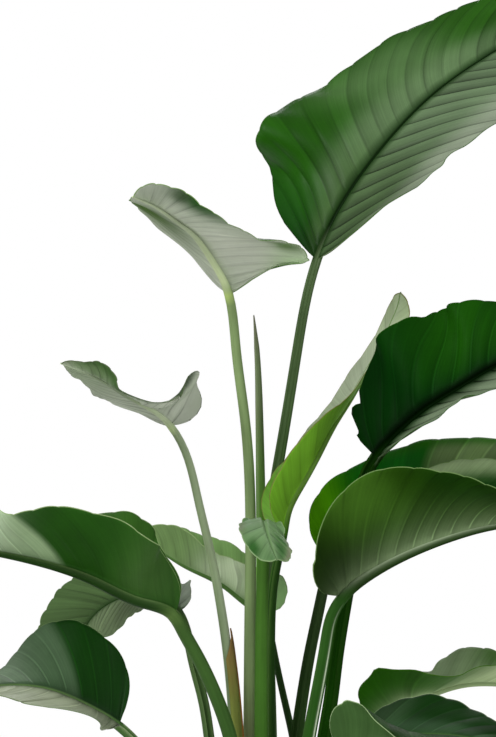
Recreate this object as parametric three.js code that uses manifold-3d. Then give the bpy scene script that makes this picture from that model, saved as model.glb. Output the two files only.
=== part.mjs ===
// Potted bird of paradise: a clump of long-stalked paddle leaves in a plain tapered pot.
// Millimetres, +Z up. The origin is the middle of the pot's flat foot, on the floor.
// +X is to the right and -Y is toward someone who looks at the plant's front.
import * as THREE from 'three';
import { mergeVertices } from 'three/addons/utils/BufferGeometryUtils.js';
import Module from 'manifold-3d';

// Pot
const potHeight = 270;
const potFootRadius = 108;
const potTopRadius = 140;
const potWall = 4;
const potFloor = 6;
const rimHeight = 28;
const rimOverhang = 5;
const potSides = 40;
const drainHoles = 5;
const drainRadius = 6;
const drainCircle = 62;

// Potting mix
const soilLevel = 244;
const soilMound = 8;

// Air left between two pieces that touch on the real plant
const clearance = 0.3;

// Leaves
const bladeAtRib = 1.5;
const bladeAtMargin = 1.0;
const ribAtTip = 1.3;
const stalkRows = 8;
const wingSteps = 3;
const lobeFlow = 1.15;
const crowding = 1.25;

// Each frond is a stalk that goes on as the blade's midrib. The numbers after a name are
// millimetres or degrees:
// stalk, rib   points on the centre line, from the foot to the collar and on to the tip
// face         the way the upper side looks, at even stations from the collar to the tip
// foot, collar radius of the stalk in the soil and where the blade starts
// widest, base how far along the blade is widest, and how full the outline is below that
// tip          how full the outline is above that, where it isn't 1.9
// wave         height of the waved edge, waves along the blade, start of the first
// left, right  the half blades, seen from above with the tip up: full width, and by even
//              stations the share of it, the lift above flat, the curl from rib to edge, and
//              the sweep of the veins toward the tip
const fronds = [
  {
    name: 'leaf_tall_right',
    stalk: [
      [0, 34, 215], [1, 40, 599], [-3, 46, 785], [2, 53, 908], [15, 60, 990], [38, 74, 1128],
      [66, 92, 1254]
    ],
    rib: [
      [107, 115, 1339], [159, 145, 1411], [238, 185, 1494], [327, 225, 1558], [423, 255, 1611],
      [519, 270, 1639]
    ],
    face: [[-0.3, -0.8, 0.5], [-0.3, -0.75, 0.6], [-0.2, -0.5, 0.8]],
    foot: 11, collar: 7, rows: 14,
    widest: 0.3, base: 3.2, wave: [5, 4, 0],
    left: {
      width: 145, scale: [0.96, 1.01, 1.05, 1.06, 1.02, 1.01, 1.01, 1, 1],
      lift: [-15, -6, 23, 12, 5, 11, 21, 27, 33], curl: [-15, -25, -40],
      sweep: [0.53, 0.21, -0.36, -0.43, -0.4, -0.15, 0.26, 0.55, 0.8]
    },
    right: {
      width: 145, scale: [1.02, 0.99, 0.99, 1, 1, 1, 1, 1, 1],
      lift: [42, 25, 19, 13, 5, 3, 4, 6, 9], curl: [25, -20, -30],
      sweep: [0.18, 0.38, 0.2, 0.33, 0.36, 0.42, 0.48, 0.54, 0.6]
    }
  },
  {
    name: 'leaf_tall_left',
    stalk: [
      [-30, 14, 215], [-28, 18, 602], [-27, 18, 788], [-27, 16, 924], [-34, 12, 1032],
      [-46, 5, 1127], [-56, -10, 1202]
    ],
    rib: [
      [-75, -50, 1241], [-98, -100, 1273], [-120, -160, 1289], [-146, -220, 1305],
      [-173, -270, 1315]
    ],
    face: [[0.3, 0.6, 0.8], [0.2, 0.6, 0.8], [0.1, 0.5, 0.8]],
    foot: 11, collar: 6.5, rows: 14,
    widest: 0.3, base: 2.4, wave: [4, 3, 0],
    left: {
      width: 125, scale: [1.01, 1.03, 1.03, 1, 0.99, 0.99, 0.99, 1],
      lift: [2, 7, 2, -15, -14, -15, 6, 41], curl: [-10, -10, -20],
      sweep: [0.52, -0.11, -0.1, 0.27, 0.74, 0.96, 1.13, 1.4]
    },
    right: {
      width: 125, scale: [1.03, 1.01, 0.98, 0.98, 0.99],
      lift: [42, 31, 30, 29, 21], curl: [10, 10, 0],
      sweep: [-0.21, 0.13, -0.37, -0.49, -0.41]
    }
  },
  {
    name: 'leaf_small_left',
    stalk: [
      [-50, -6, 215], [-48, -4, 605], [-58, -4, 722], [-68, -4, 790], [-81, -5, 857],
      [-97, -8, 925], [-115, -14, 992], [-133, -24, 1024]
    ],
    rib: [[-160, -55, 1048], [-185, -100, 1063], [-223, -160, 1088], [-267, -210, 1108]],
    face: [[0.2, 0.4, 0.9], [0.1, 0.35, 0.9], [0.05, 0, 1], [0, -0.4, 0.9]],
    foot: 10, collar: 5.5, rows: 16,
    widest: 0.3, base: 2.4, wave: [3, 3, 0],
    left: {
      width: 70, scale: [1.08, 1.17, 1.23, 1.12, 1.05, 1.01, 1, 1, 1, 1.01, 1.03, 1.02, 1.02],
      lift: [7, 70, 56, 26, 0, 0, -12, -15, -21, 2, 35, 45, 88], curl: [40, 90, 90, 50, 10, 0, 0],
      sweep: [-0.17, -0.43, -0.41, 0.09, 0.06, -0.26, -0.18, -0.11, 0.42, 0.17, 0.18, 0.07, 0.73]
    },
    right: {
      width: 75, scale: [1.06, 0.98, 0.97, 0.98, 0.99, 1, 1],
      lift: [18, 15, 12, 11, 2, -8, -13], curl: [30, 20, 0],
      sweep: [-0.14, -0.01, -0.53, -0.57, -0.38, -0.16, -0.06]
    }
  },
  {
    name: 'leaf_unfolding',
    young: true,
    stalk: [[10, 4, 215], [0, 6, 604], [0, 2, 735], [6, -2, 823], [18, -4, 882]],
    rib: [
      [24, -5, 911], [40, -2, 942], [64, 15, 983], [88, 50, 1025], [113, 90, 1061],
      [135, 120, 1097], [157, 140, 1134], [173, 151, 1168], [183, 158, 1193], [186, 162, 1209]
    ],
    face: [[-0.7, -0.35, 0.35], [-0.75, -0.15, 0.6], [-0.75, -0.25, 0.6], [-0.6, -0.5, 0.5]],
    foot: 10, collar: 6.5, rows: 10,
    widest: 0.25, base: 2.4, tip: 4, wave: [1, 3, 0],
    left: {
      width: 52, scale: [1, 1, 1, 1, 1, 1.01, 1.03],
      lift: [39, 28, 18, 10, 3, -8, 13], curl: [20, 30, 30],
      sweep: [0.08, 0.14, 0.22, 0.33, 0.51, 0.83, 1.4]
    },
    right: {
      width: 50, scale: [1.01, 1.01, 1, 0.99, 1, 1.01, 1.02, 1.02],
      lift: [72, 63, 40, 16, 15, -1, -17, -25], curl: [20, 25, 20],
      sweep: [0.7, 0.37, 0.2, 0.08, 0.18, 0.39, 0.64, 0.88]
    }
  },
  {
    name: 'leaf_front',
    stalk: [
      [-12, -22, 215], [-12, -30, 609], [-12, -32, 726], [-11, -36, 793], [-9, -44, 857],
      [-9, -54, 885]
    ],
    rib: [[-10, -76, 899], [-9, -104, 898], [-4, -138, 882], [7, -165, 856]],
    face: [[0.15, -0.1, 1], [0.25, -0.6, 0.8], [0.3, -1, 0.25]],
    foot: 13, collar: 8.5, rows: 10,
    widest: 0.3, base: 2.4, wave: [3, 2, 0],
    left: {
      width: 40, scale: [0.75, 0.72, 0.87, 1.01, 1.16],
      lift: [-25, -25, -23, -25, -25], curl: [-10, -20, -20],
      sweep: [1.4, 0.82, 0.92, 1.14, 1.4]
    },
    right: {
      width: 38, scale: [0.75, 0.75, 0.9, 1.03, 1.08],
      lift: [-25, -25, -25, -25, -25], curl: [-10, -20, -20],
      sweep: [1.3, -0.12, 0.42, 0.9, 1.4]
    }
  },
  {
    name: 'leaf_back_left',
    stalk: [[36, 78, 215], [33, 116, 588], [23, 119, 632], [6, 124, 711], [-9, 126, 754]],
    rib: [
      [-34, 127, 774], [-62, 130, 796], [-90, 135, 811], [-119, 142, 824], [-143, 150, 838],
      [-171, 161, 852], [-212, 174, 859]
    ],
    face: [[0.2, 0.1, 1], [0.15, 0.1, 1], [0.1, 0, 1]],
    foot: 9, collar: 5, rows: 10,
    widest: 0.3, base: 2.4, wave: [2, 3, 0],
    left: {
      width: 60, scale: [1.21, 1.11, 0.85, 0.84, 1.03, 1.05, 1.03],
      lift: [88, 79, 50, 50, 81, 88, 88], curl: [0, 0, 0],
      sweep: [-0.4, -0.22, -0.48, -0.5, 0.08, 0.1, 0.05]
    },
    right: {
      width: 60, scale: [1, 1],
      lift: [60, 60, 60], curl: [0, 0, 0],
      sweep: [0.1, 0.3, 0.4, 0.5, 0.6]
    }
  },
  {
    name: 'leaf_wide_left',
    stalk: [
      [-34, -48, 215], [-40, -50, 430], [-53, -54, 612], [-75, -57, 675], [-96, -62, 720],
      [-115, -68, 755], [-130, -74, 779]
    ],
    rib: [
      [-172, -85, 796], [-230, -100, 824], [-295, -115, 848], [-352, -130, 862], [-428, -145, 870],
      [-505, -150, 855]
    ],
    face: [[0.2, 0.1, 1], [0.1, 0.1, 1], [0.1, 0, 1]],
    foot: 13, collar: 10, rows: 14,
    widest: 0.38, base: 2.4, wave: [3, 3, 0],
    left: {
      width: 110, scale: [0.7, 1.08, 1.1, 1.07, 1.12, 1.08, 1.03, 0.99],
      lift: [88, 40, 37, 31, 25, 51, 70, 88], curl: [10, 10, 0],
      sweep: [0.35, 0.08, 0.21, 0.35, 0.31, 0.03, -0.24, -0.51]
    },
    right: {
      width: 110, scale: [0.84, 1.05, 1.01, 1.01, 1],
      lift: [69, 65, 39, 23, 8], curl: [0, 10, 0],
      sweep: [-0.02, -0.22, -0.48, -0.21, 0.17]
    }
  },
  {
    name: 'leaf_drooping_left',
    stalk: [[-54, 26, 215], [-83, 24, 601], [-91, 24, 651], [-105, 26, 705], [-125, 32, 770]],
    rib: [[-144, 50, 785], [-179, 75, 789], [-222, 95, 774], [-250, 110, 749], [-271, 115, 702]],
    face: [[-0.1, -0.3, 1], [-0.2, -0.6, 0.8], [-0.5, -0.7, 0.3]],
    foot: 10, collar: 7, rows: 14,
    widest: 0.38, base: 2.4, wave: [3, 3, 0],
    left: {
      width: 80, scale: [1, 1, 1, 1, 1],
      lift: [31, 18, 8, 11, 12], curl: [0, 0, 0],
      sweep: [-0.58, -0.47, -0.29, -0.06, 0.21]
    },
    right: {
      width: 80, scale: [0.97, 1, 1, 1, 1.02, 1.06, 1.04],
      lift: [-24, -5, 2, 6, 10, 35, 53], curl: [0, 0, 0],
      sweep: [0.34, 0.86, 0.95, 1.17, 1.35, 1.4, 1.15]
    }
  },
  {
    name: 'leaf_low_left',
    stalk: [[-60, -36, 215], [-87, -80, 428], [-145, -110, 571], [-199, -130, 639]],
    rib: [
      [-234, -145, 663], [-285, -160, 687], [-348, -175, 694], [-423, -190, 679], [-485, -200, 655]
    ],
    face: [[0, -0.5, 0.85], [0, -0.5, 0.85], [0, -0.4, 0.85]],
    foot: 12, collar: 7, rows: 14,
    widest: 0.3, base: 2.4, wave: [3, 3, 0],
    left: {
      width: 110, scale: [1.09, 1.01, 0.98, 0.98, 0.99, 1, 1, 1, 1, 1],
      lift: [9, 26, 22, 25, 26, 22, 15, 6, -3, -12], curl: [0, 0, 0],
      sweep: [0.61, 0.34, 0.73, 0.53, 0.69, 0.77, 0.8, 0.8, 0.78, 0.75]
    },
    right: {
      width: 110, scale: [1.03, 1.05, 1, 0.99, 0.99],
      lift: [39, 13, -23, -25, -25], curl: [0, 0, 0],
      sweep: [0.15, 0.23, -0.05, -0.09, -0.06]
    }
  },
  {
    name: 'leaf_dark_right',
    stalk: [
      [66, 4, 215], [74, 8, 605], [82, 8, 653], [89, 8, 708], [102, 5, 789], [118, -2, 898],
      [129, -8, 959], [143, -13, 984]
    ],
    rib: [
      [175, -24, 1020], [208, -32, 1048], [250, -40, 1075], [300, -48, 1105], [384, -58, 1133],
      [475, -68, 1126]
    ],
    face: [[-0.3, -0.9, 0.2], [-0.25, -0.9, 0.35], [-0.15, -0.8, 0.6]],
    foot: 13, collar: 9, rows: 14,
    widest: 0.3, base: 2.4, wave: [3, 4, 0],
    left: {
      width: 120, scale: [0.99, 1, 0.99, 1.01, 1.02, 1.01, 1, 1, 1],
      lift: [-21, -12, 5, -13, -5, -11, -18, -22, -25], curl: [0, 0, 0],
      sweep: [-0.07, 0.28, 0.07, 0.22, 0, -0.07, -0.17, -0.2, -0.19]
    },
    right: {
      width: 110, scale: [1, 1, 1, 1, 1],
      lift: [60, 61, 54, 47, 40], curl: [0, 0, 0],
      sweep: [0.9, 0.57, 0.48, 0.42, 0.37]
    }
  },
  {
    name: 'leaf_back_right',
    stalk: [
      [40, 27, 215], [37, 62, 597], [44, 66, 646], [53, 70, 700], [69, 76, 776], [86, 88, 837]
    ],
    rib: [
      [112, 100, 878], [168, 110, 923], [238, 120, 948], [318, 130, 956], [409, 140, 948],
      [494, 150, 924]
    ],
    face: [[-0.4, -0.4, 0.8], [-0.2, -0.5, 0.85], [0, -0.4, 0.9]],
    foot: 12, collar: 8, rows: 14,
    widest: 0.38, base: 2.4, wave: [3, 3, 0],
    left: {
      width: 90, scale: [1.05, 1.01, 0.99, 1, 1],
      lift: [31, 8, 2, 19, 34], curl: [0, 0, 0],
      sweep: [0.41, 0.18, 0.28, 0.44, 0.62]
    },
    right: {
      width: 90, scale: [1, 1],
      lift: [0, 0, 0], curl: [0, 0, 0],
      sweep: [0.1, 0.3, 0.4, 0.5, 0.6]
    }
  },
  {
    name: 'leaf_wide_right',
    stalk: [
      [28, -20, 215], [51, -36, 610], [65, -46, 687], [74, -54, 741], [80, -58, 771], [94, -65, 798]
    ],
    rib: [
      [131, -80, 831], [176, -95, 857], [234, -110, 881], [292, -125, 897], [374, -140, 899],
      [450, -150, 881]
    ],
    face: [[-0.2, 0.1, 1], [-0.1, 0.1, 1], [0, 0, 1]],
    foot: 13, collar: 9, rows: 14,
    widest: 0.3, base: 2.4, wave: [3, 3, 0],
    left: {
      width: 110, scale: [1, 1],
      lift: [60, 60, 50], curl: [0, 0, 0],
      sweep: [0.1, 0.3, 0.4, 0.5, 0.6]
    },
    right: {
      width: 110, scale: [1.05, 1.12, 1.06, 1.02, 0.99],
      lift: [9, 56, 51, 19, -7], curl: [10, 10, 10],
      sweep: [-0.06, -0.03, -0.1, -0.26, -0.18]
    }
  },
  {
    name: 'leaf_low_right',
    stalk: [[70, 34, 215], [103, 45, 443], [130, 50, 545], [154, 58, 613]],
    rib: [
      [179, 66, 638], [214, 76, 649], [240, 84, 657], [268, 92, 663], [315, 104, 663],
      [392, 118, 647], [449, 125, 621]
    ],
    face: [[-0.3, -0.1, 1], [-0.2, -0.1, 1], [0, -0.1, 1]],
    foot: 10, collar: 6, rows: 14,
    widest: 0.3, base: 2.4, wave: [3, 3, 0],
    left: {
      width: 80, scale: [1, 1, 1.01, 1, 1],
      lift: [8, 11, 30, 34, 40], curl: [0, 0, 0],
      sweep: [0.78, 0.59, 0.32, 0.07, -0.06]
    },
    right: {
      width: 75, scale: [1.19, 1.17, 0.99, 0.97, 0.98, 0.99, 1, 1, 1],
      lift: [88, 58, 24, 24, 36, 41, 44, 45, 46], curl: [0, 0, 0],
      sweep: [-0.06, -0.32, 0.17, 0.47, 0.55, 0.71, 0.86, 1.01, 1.14]
    }
  },
  {
    name: 'leaf_low_front',
    stalk: [[38, -48, 215], [51, -90, 430], [67, -110, 538], [96, -130, 604]],
    rib: [[140, -150, 623], [203, -180, 632], [264, -210, 629], [324, -240, 605]],
    face: [[-0.2, -0.3, 0.9], [0, -0.3, 0.9], [0, -0.3, 0.9]],
    foot: 12, collar: 8, rows: 14,
    widest: 0.38, base: 2.4, wave: [3, 3, 0],
    left: {
      width: 80, scale: [1.01, 1.01, 1, 1, 1],
      lift: [-10, 10, 9, -1, -6], curl: [0, 0, 0],
      sweep: [0.13, -0.14, 0, 0, 0.18]
    },
    right: {
      width: 70, scale: [1.15, 1.08, 1.03, 1, 0.99],
      lift: [88, 68, 23, -6, -25], curl: [0, 0, 0],
      sweep: [0.09, -0.3, -0.35, -0.1, 0.24]
    }
  }
];

// The rolled new leaf: centre line, then the radius at each of its points
const spearLine = [
  [-14, 62, 215], [-12, 74, 594], [-12, 78, 838], [-13, 78, 948], [-15, 78, 1058],
  [-18, 78, 1130], [-22, 78, 1175]
];
const spearRadii = [9, 8.5, 7.5, 7, 5, 3.2, 0.9];
const spearSides = 10;

const colours = {
  pot: 0xd9d6cf,
  soil: 0x2f241b,
  leaf: 0x355c22,
  youngLeaf: 0x5f8a34,
  spear: 0x72805f
};

const wasm = await Module();
wasm.setup();

// Curves

// A natural cubic through the points, spaced by chord length and sampled finely.
function smoothLine(points, steps = 24) {
  const p = points.map((q) => new THREE.Vector3(...q));
  const last = p.length - 1;
  const span = p.slice(1).map((q, i) => q.distanceTo(p[i]));
  const bend = p.map(() => new THREE.Vector3());
  const gain = p.map(() => 0);
  for (let i = 1; i < last; i++) {
    const pull = p[i + 1].clone().sub(p[i]).divideScalar(span[i]);
    pull.sub(p[i].clone().sub(p[i - 1]).divideScalar(span[i - 1])).multiplyScalar(6);
    const pivot = 2 * (span[i - 1] + span[i]) - span[i - 1] * gain[i - 1];
    gain[i] = span[i] / pivot;
    bend[i] = pull.addScaledVector(bend[i - 1], -span[i - 1]).divideScalar(pivot);
  }
  for (let i = last - 1; i > 0; i--) {
    bend[i].addScaledVector(bend[i + 1], -gain[i]);
  }
  const line = [];
  for (let i = 0; i < last; i++) {
    for (let k = 0; k < steps; k++) {
      const b = k / steps;
      const a = 1 - b;
      const h = span[i] * span[i] / 6;
      const q = p[i].clone().multiplyScalar(a).addScaledVector(p[i + 1], b);
      q.addScaledVector(bend[i], (a ** 3 - a) * h);
      q.addScaledVector(bend[i + 1], (b ** 3 - b) * h);
      line.push(q);
    }
  }
  line.push(p[last]);
  return line;
}

// Position and direction at a share of a sampled line's length.
function alongLine(line, share) {
  const run = [0];
  for (let i = 1; i < line.length; i++) {
    run.push(run[i - 1] + line[i].distanceTo(line[i - 1]));
  }
  const goal = share * run[run.length - 1];
  let i = 0;
  while (i < line.length - 2 && run[i + 1] < goal) {
    i++;
  }
  const t = (goal - run[i]) / (run[i + 1] - run[i]);
  const slope = (k) => line[Math.min(k + 1, line.length - 1)].clone()
    .sub(line[Math.max(k - 1, 0)]).normalize();
  return {
    point: line[i].clone().lerp(line[i + 1], t),
    forward: slope(i).lerp(slope(i + 1), t).normalize()
  };
}

// A smooth value between numbers given at even stations from 0 to 1.
function between(values, u) {
  const last = values.length - 1;
  const i = Math.min(Math.floor(u * last), last - 1);
  const t = u * last - i;
  const at = (k) => {
    if (k < 0) {
      return 2 * values[0] - values[1];
    }
    return k > last ? 2 * values[last] - values[last - 1] : values[k];
  };
  const [a, b, c, d] = [at(i - 1), at(i), at(i + 1), at(i + 2)];
  return 0.5 * (2 * b + (c - a) * t + (2 * a - 5 * b + 4 * c - d) * t * t
    + (3 * b - a - 3 * c + d) * t * t * t);
}

// Solids

// One closed geometry from points and triangles: points that coincide are joined, and
// triangles that this flattens to a line are left out.
function closedGeometry(points, triangles) {
  const loose = new THREE.BufferGeometry();
  loose.setAttribute('position', new THREE.Float32BufferAttribute(
    points.flatMap((p) => [p.x, p.y, p.z]), 3));
  loose.setIndex(triangles.flat());
  const joined = mergeVertices(loose, 1e-3);
  const index = joined.getIndex().array;
  const kept = [];
  for (let i = 0; i < index.length; i += 3) {
    const [a, b, c] = [index[i], index[i + 1], index[i + 2]];
    if (a !== b && b !== c && c !== a) {
      kept.push(a, b, c);
    }
  }
  joined.setIndex(facingOut(joined.getAttribute('position'), kept));
  joined.computeVertexNormals();
  return joined;
}

// The triangles as they are, or all turned over where they enclose less than nothing.
function facingOut(position, index) {
  const corner = (i) => new THREE.Vector3().fromBufferAttribute(position, index[i]);
  let volume = 0;
  for (let i = 0; i < index.length; i += 3) {
    volume += corner(i).dot(corner(i + 1).cross(corner(i + 2)));
  }
  return volume > 0 ? index : index.toReversed();
}

// Rings of points joined one to the next. The foot is closed flat, and the last ring runs
// to a tip. A quad whose first edge is in the set of flipped edges is cut the other way, so
// that both faces of a blade have the same triangles.
function loft(rings, tip, flipped = new Set()) {
  const size = rings[0].length;
  const points = rings.flat();
  const triangles = [];
  for (let i = 0; i < rings.length - 1; i++) {
    for (let k = 0; k < size; k++) {
      const a = i * size + k;
      const b = i * size + (k + 1) % size;
      const c = b + size;
      const d = a + size;
      if (flipped.has(k)) {
        triangles.push([a, b, d], [b, c, d]);
      } else {
        triangles.push([a, b, c], [a, c, d]);
      }
    }
  }
  const foot = points.length;
  const centre = new THREE.Vector3();
  rings[0].forEach((p) => centre.addScaledVector(p, 1 / size));
  points.push(centre, tip);
  const lastRow = (rings.length - 1) * size;
  for (let k = 0; k < size; k++) {
    const next = (k + 1) % size;
    triangles.push([next, k, foot]);
    triangles.push([lastRow + k, lastRow + next, foot + 1]);
  }
  return closedGeometry(points, triangles);
}

// A round rod through points, with a radius at each and a flat end or a pointed one.
function rod(points, radii, sides, pointed) {
  const rings = points.map((p, i) => {
    const before = points[Math.max(i - 1, 0)];
    const after = points[Math.min(i + 1, points.length - 1)];
    const forward = after.clone().sub(before).normalize();
    const side = new THREE.Vector3(1, 0, 0).cross(forward).normalize();
    const front = forward.clone().cross(side);
    return Array.from({ length: sides }, (_, k) => {
      const turn = 2 * Math.PI * k / sides;
      return p.clone().addScaledVector(front, radii[i] * Math.cos(turn))
        .addScaledVector(side, radii[i] * Math.sin(turn));
    });
  });
  const end = points[points.length - 1].clone();
  if (pointed) {
    const before = points[points.length - 2];
    end.addScaledVector(end.clone().sub(before).normalize(), radii[radii.length - 1]);
  }
  return loft(rings, end);
}

function toManifold(geometry) {
  const bare = geometry.clone();
  bare.deleteAttribute('normal');
  bare.deleteAttribute('uv');
  const joined = mergeVertices(bare, 1e-3);
  return new wasm.Manifold(new wasm.Mesh({
    numProp: 3,
    vertProperties: new Float32Array(joined.getAttribute('position').array),
    triVerts: new Uint32Array(joined.getIndex().array)
  }));
}

function fromManifold(solid) {
  const mesh = solid.getMesh();
  const geometry = new THREE.BufferGeometry();
  geometry.setAttribute('position', new THREE.BufferAttribute(mesh.vertProperties, 3));
  geometry.setIndex(new THREE.BufferAttribute(mesh.triVerts, 1));
  geometry.computeVertexNormals();
  return geometry;
}

// A turned solid: radius and height pairs from the axis back to the axis, about Z.
function turned(profile, sides) {
  const outline = profile.map(([r, z]) => new THREE.Vector2(r, z));
  const geometry = new THREE.LatheGeometry(outline, sides);
  geometry.rotateX(Math.PI / 2);
  return geometry;
}

// Fronds

// Share of the full width at u along the blade: a rounded shoulder up to the widest
// place, then a long taper to the tip.
function outlineAt(frond, u) {
  const { widest, base } = frond;
  if (u < widest) {
    return (1 - (1 - u / widest) ** base) ** (1 / base);
  }
  return 1 - ((u - widest) / (1 - widest)) ** (frond.tip ?? 1.9);
}

// Centre, direction, upper side and left side of a frond by rows: down the stalk the
// upper side is carried along without twist, and over the blade it follows the face list.
function frondRows(frond) {
  const line = smoothLine([...frond.stalk, ...frond.rib]);
  const collar = 24 * (frond.stalk.length - 1);
  const stalk = line.slice(0, collar + 1);
  const rib = line.slice(collar);
  const rows = [];
  for (let i = 0; i <= frond.rows; i++) {
    const u = (i / frond.rows) ** crowding;
    const { point, forward } = alongLine(rib, u);
    const face = new THREE.Vector3(...[0, 1, 2].map((k) =>
      between(frond.face.map((f) => f[k]), u)));
    face.addScaledVector(forward, -face.dot(forward)).normalize();
    const radius = ribAtTip + (frond.collar - ribAtTip) * (1 - u) ** 0.8;
    rows.push({ u, point, forward, face, radius });
  }
  let carried = rows[0].face;
  for (let i = 1; i <= stalkRows; i++) {
    const share = 1 - (i / stalkRows) ** 1.3;
    const { point, forward } = alongLine(stalk, Math.max(share, 0));
    carried = carried.clone().addScaledVector(forward, -carried.dot(forward)).normalize();
    const radius = frond.foot + (frond.collar - frond.foot) * Math.max(share, 0) ** 0.8;
    rows.unshift({ u: 0, point, forward, face: carried, radius });
  }
  rows.forEach((row) => {
    row.left = row.face.clone().cross(row.forward);
  });
  return rows;
}

// The middle surface of one half blade at a row: each cross-section is an arc of the
// wanted lift and curl, drawn back or forward along the rib by the sweep, with waves that
// grow toward the edge.
function wingPoints(frond, row, side) {
  const half = side > 0 ? frond.left : frond.right;
  const { u, radius } = row;
  const fullness = outlineAt(frond, u);
  const width = half.width * between(half.scale, u) * fullness;
  const lift = THREE.MathUtils.degToRad(between(half.lift, u));
  let curl = THREE.MathUtils.degToRad(between(half.curl, u));
  curl = Math.abs(curl) < 0.01 ? 0.01 : curl;
  const start = lift - curl / 2;
  const [height, count, first] = frond.wave;
  const phase = first + (side > 0 ? 0 : 1.7);
  const points = [];
  for (let k = 0; k <= wingSteps; k++) {
    const v = k / wingSteps;
    const angle = start + curl * v;
    const wave = height * v * v * fullness * Math.sin(2 * Math.PI * count * u + phase);
    const out = 0.55 * radius + width * (Math.sin(angle) - Math.sin(start)) / curl
      - wave * Math.sin(angle);
    const up = 0.6 * radius + width * (Math.cos(start) - Math.cos(angle)) / curl
      + wave * Math.cos(angle);
    const along = width * between(half.sweep, u) * v ** lobeFlow;
    points.push(row.point.clone()
      .addScaledVector(row.left, side * out)
      .addScaledVector(row.face, up)
      .addScaledVector(row.forward, along));
  }
  return points;
}

// Upper and lower points of one half blade, half the thickness either side of its middle
// surface.
function wingFaces(frond, rows, side) {
  const grid = rows.map((row) => wingPoints(frond, row, side));
  const last = rows.length - 1;
  return grid.map((points, i) => {
    const faces = points.map((p, k) => {
      const along = grid[Math.min(i + 1, last)][k].clone().sub(grid[Math.max(i - 1, 0)][k]);
      const across = grid[i][Math.min(k + 1, wingSteps)].clone()
        .sub(grid[i][Math.max(k - 1, 0)]);
      const normal = along.cross(across).multiplyScalar(side);
      if (rows[i].u === 0 || normal.length() < 1e-3) {
        normal.copy(rows[i].face);
      }
      normal.normalize();
      const v = rows[i].u === 0 ? 0 : k / wingSteps;
      const half = 0.5 * (bladeAtRib + (bladeAtMargin - bladeAtRib) * v);
      return [p.clone().addScaledVector(normal, half), p.clone().addScaledVector(normal, -half)];
    });
    return { top: faces.map((f) => f[0]), under: faces.map((f) => f[1]) };
  });
}

// The stalk and rib are a channel: two ridges, a groove between them and a round keel.
const keel = [[0.9, -0.1], [0.6, -0.68], [0, -0.95], [-0.6, -0.68], [-0.9, -0.1]];
const groove = [0, 0.25];

function frondGeometry(frond) {
  const rows = frondRows(frond);
  const left = wingFaces(frond, rows, 1);
  const right = wingFaces(frond, rows, -1);
  const rings = rows.map((row, i) => {
    const place = ([out, up]) => row.point.clone()
      .addScaledVector(row.left, out * row.radius)
      .addScaledVector(row.face, up * row.radius);
    return [
      ...left[i].top,
      ...left[i].under.toReversed(),
      ...keel.map(place),
      ...right[i].under,
      ...right[i].top.toReversed(),
      place(groove)
    ];
  });
  const flipped = new Set();
  const wing = wingSteps + 1;
  for (let k = 0; k < wingSteps; k++) {
    flipped.add(wing + k);
    flipped.add(3 * wing + keel.length + k);
  }
  const tip = rings.pop()[0].clone();
  return loft(rings, tip, flipped);
}

// A plain hole for a stalk: its first straight stretch, a little wider all round.
function stalkHole(foot, next, footRadius, nextRadius) {
  const sides = 12;
  const forward = next.clone().sub(foot).normalize();
  const widen = (r) => (r + clearance) / Math.cos(Math.PI / sides);
  const start = foot.clone().addScaledVector(forward, -clearance);
  const top = next.clone();
  return rod([start, top], [widen(footRadius), widen(nextRadius)], sides, false);
}

// Pot and soil

// Inside radius of the pot at a height.
function insideRadius(z) {
  return potFootRadius + (potTopRadius - potFootRadius) * z / potHeight - potWall;
}

function potGeometry() {
  const outside = (z) => insideRadius(z) + potWall;
  const rimFoot = potHeight - rimHeight;
  const body = toManifold(turned([
    [0, 0],
    [potFootRadius - 2, 0],
    [potFootRadius, 2],
    [outside(rimFoot - 4), rimFoot - 4],
    [outside(rimFoot) + rimOverhang, rimFoot],
    [outside(potHeight) + rimOverhang, potHeight - 2],
    [outside(potHeight) + rimOverhang - 2, potHeight],
    [insideRadius(potHeight) + 1.5, potHeight],
    [insideRadius(potHeight - 1.5), potHeight - 1.5],
    [insideRadius(potFloor), potFloor],
    [0, potFloor]
  ], potSides));
  let pot = body;
  for (let i = 0; i < drainHoles; i++) {
    const turn = 2 * Math.PI * (i + 0.5) / drainHoles;
    const [x, y] = [drainCircle * Math.cos(turn), drainCircle * Math.sin(turn)];
    const ends = [new THREE.Vector3(x, y, -2), new THREE.Vector3(x, y, potFloor + 2)];
    pot = pot.subtract(toManifold(rod(ends, [drainRadius, drainRadius], 10, false)));
  }
  return fromManifold(pot);
}

function soilGeometry(holes) {
  const edge = soilLevel - 2;
  const bottom = potFloor + clearance;
  const gap = clearance / Math.cos(Math.PI / potSides);
  let soil = toManifold(turned([
    [0, bottom],
    [insideRadius(bottom) - gap - 0.1, bottom],
    [insideRadius(edge) - gap - 0.1, edge],
    [112, soilLevel],
    [84, soilLevel + 0.55 * soilMound],
    [48, soilLevel + soilMound],
    [0, soilLevel + soilMound + 1]
  ], potSides));
  holes.forEach((hole) => {
    soil = soil.subtract(toManifold(hole));
  });
  return fromManifold(soil);
}

// Assembly

function addPiece(group, name, geometry, colour, roughness) {
  const material = new THREE.MeshStandardMaterial({ color: colour, roughness, metalness: 0 });
  const mesh = new THREE.Mesh(geometry, material);
  mesh.name = name;
  group.add(mesh);
}

const plant = new THREE.Group();
const holes = fronds.map((frond) => {
  const [foot, next] = frondRows(frond);
  return stalkHole(foot.point, next.point, foot.radius, next.radius);
});
const spearPoints = spearLine.map((p) => new THREE.Vector3(...p));
holes.push(stalkHole(spearPoints[0], spearPoints[1], spearRadii[0], spearRadii[1]));

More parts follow.
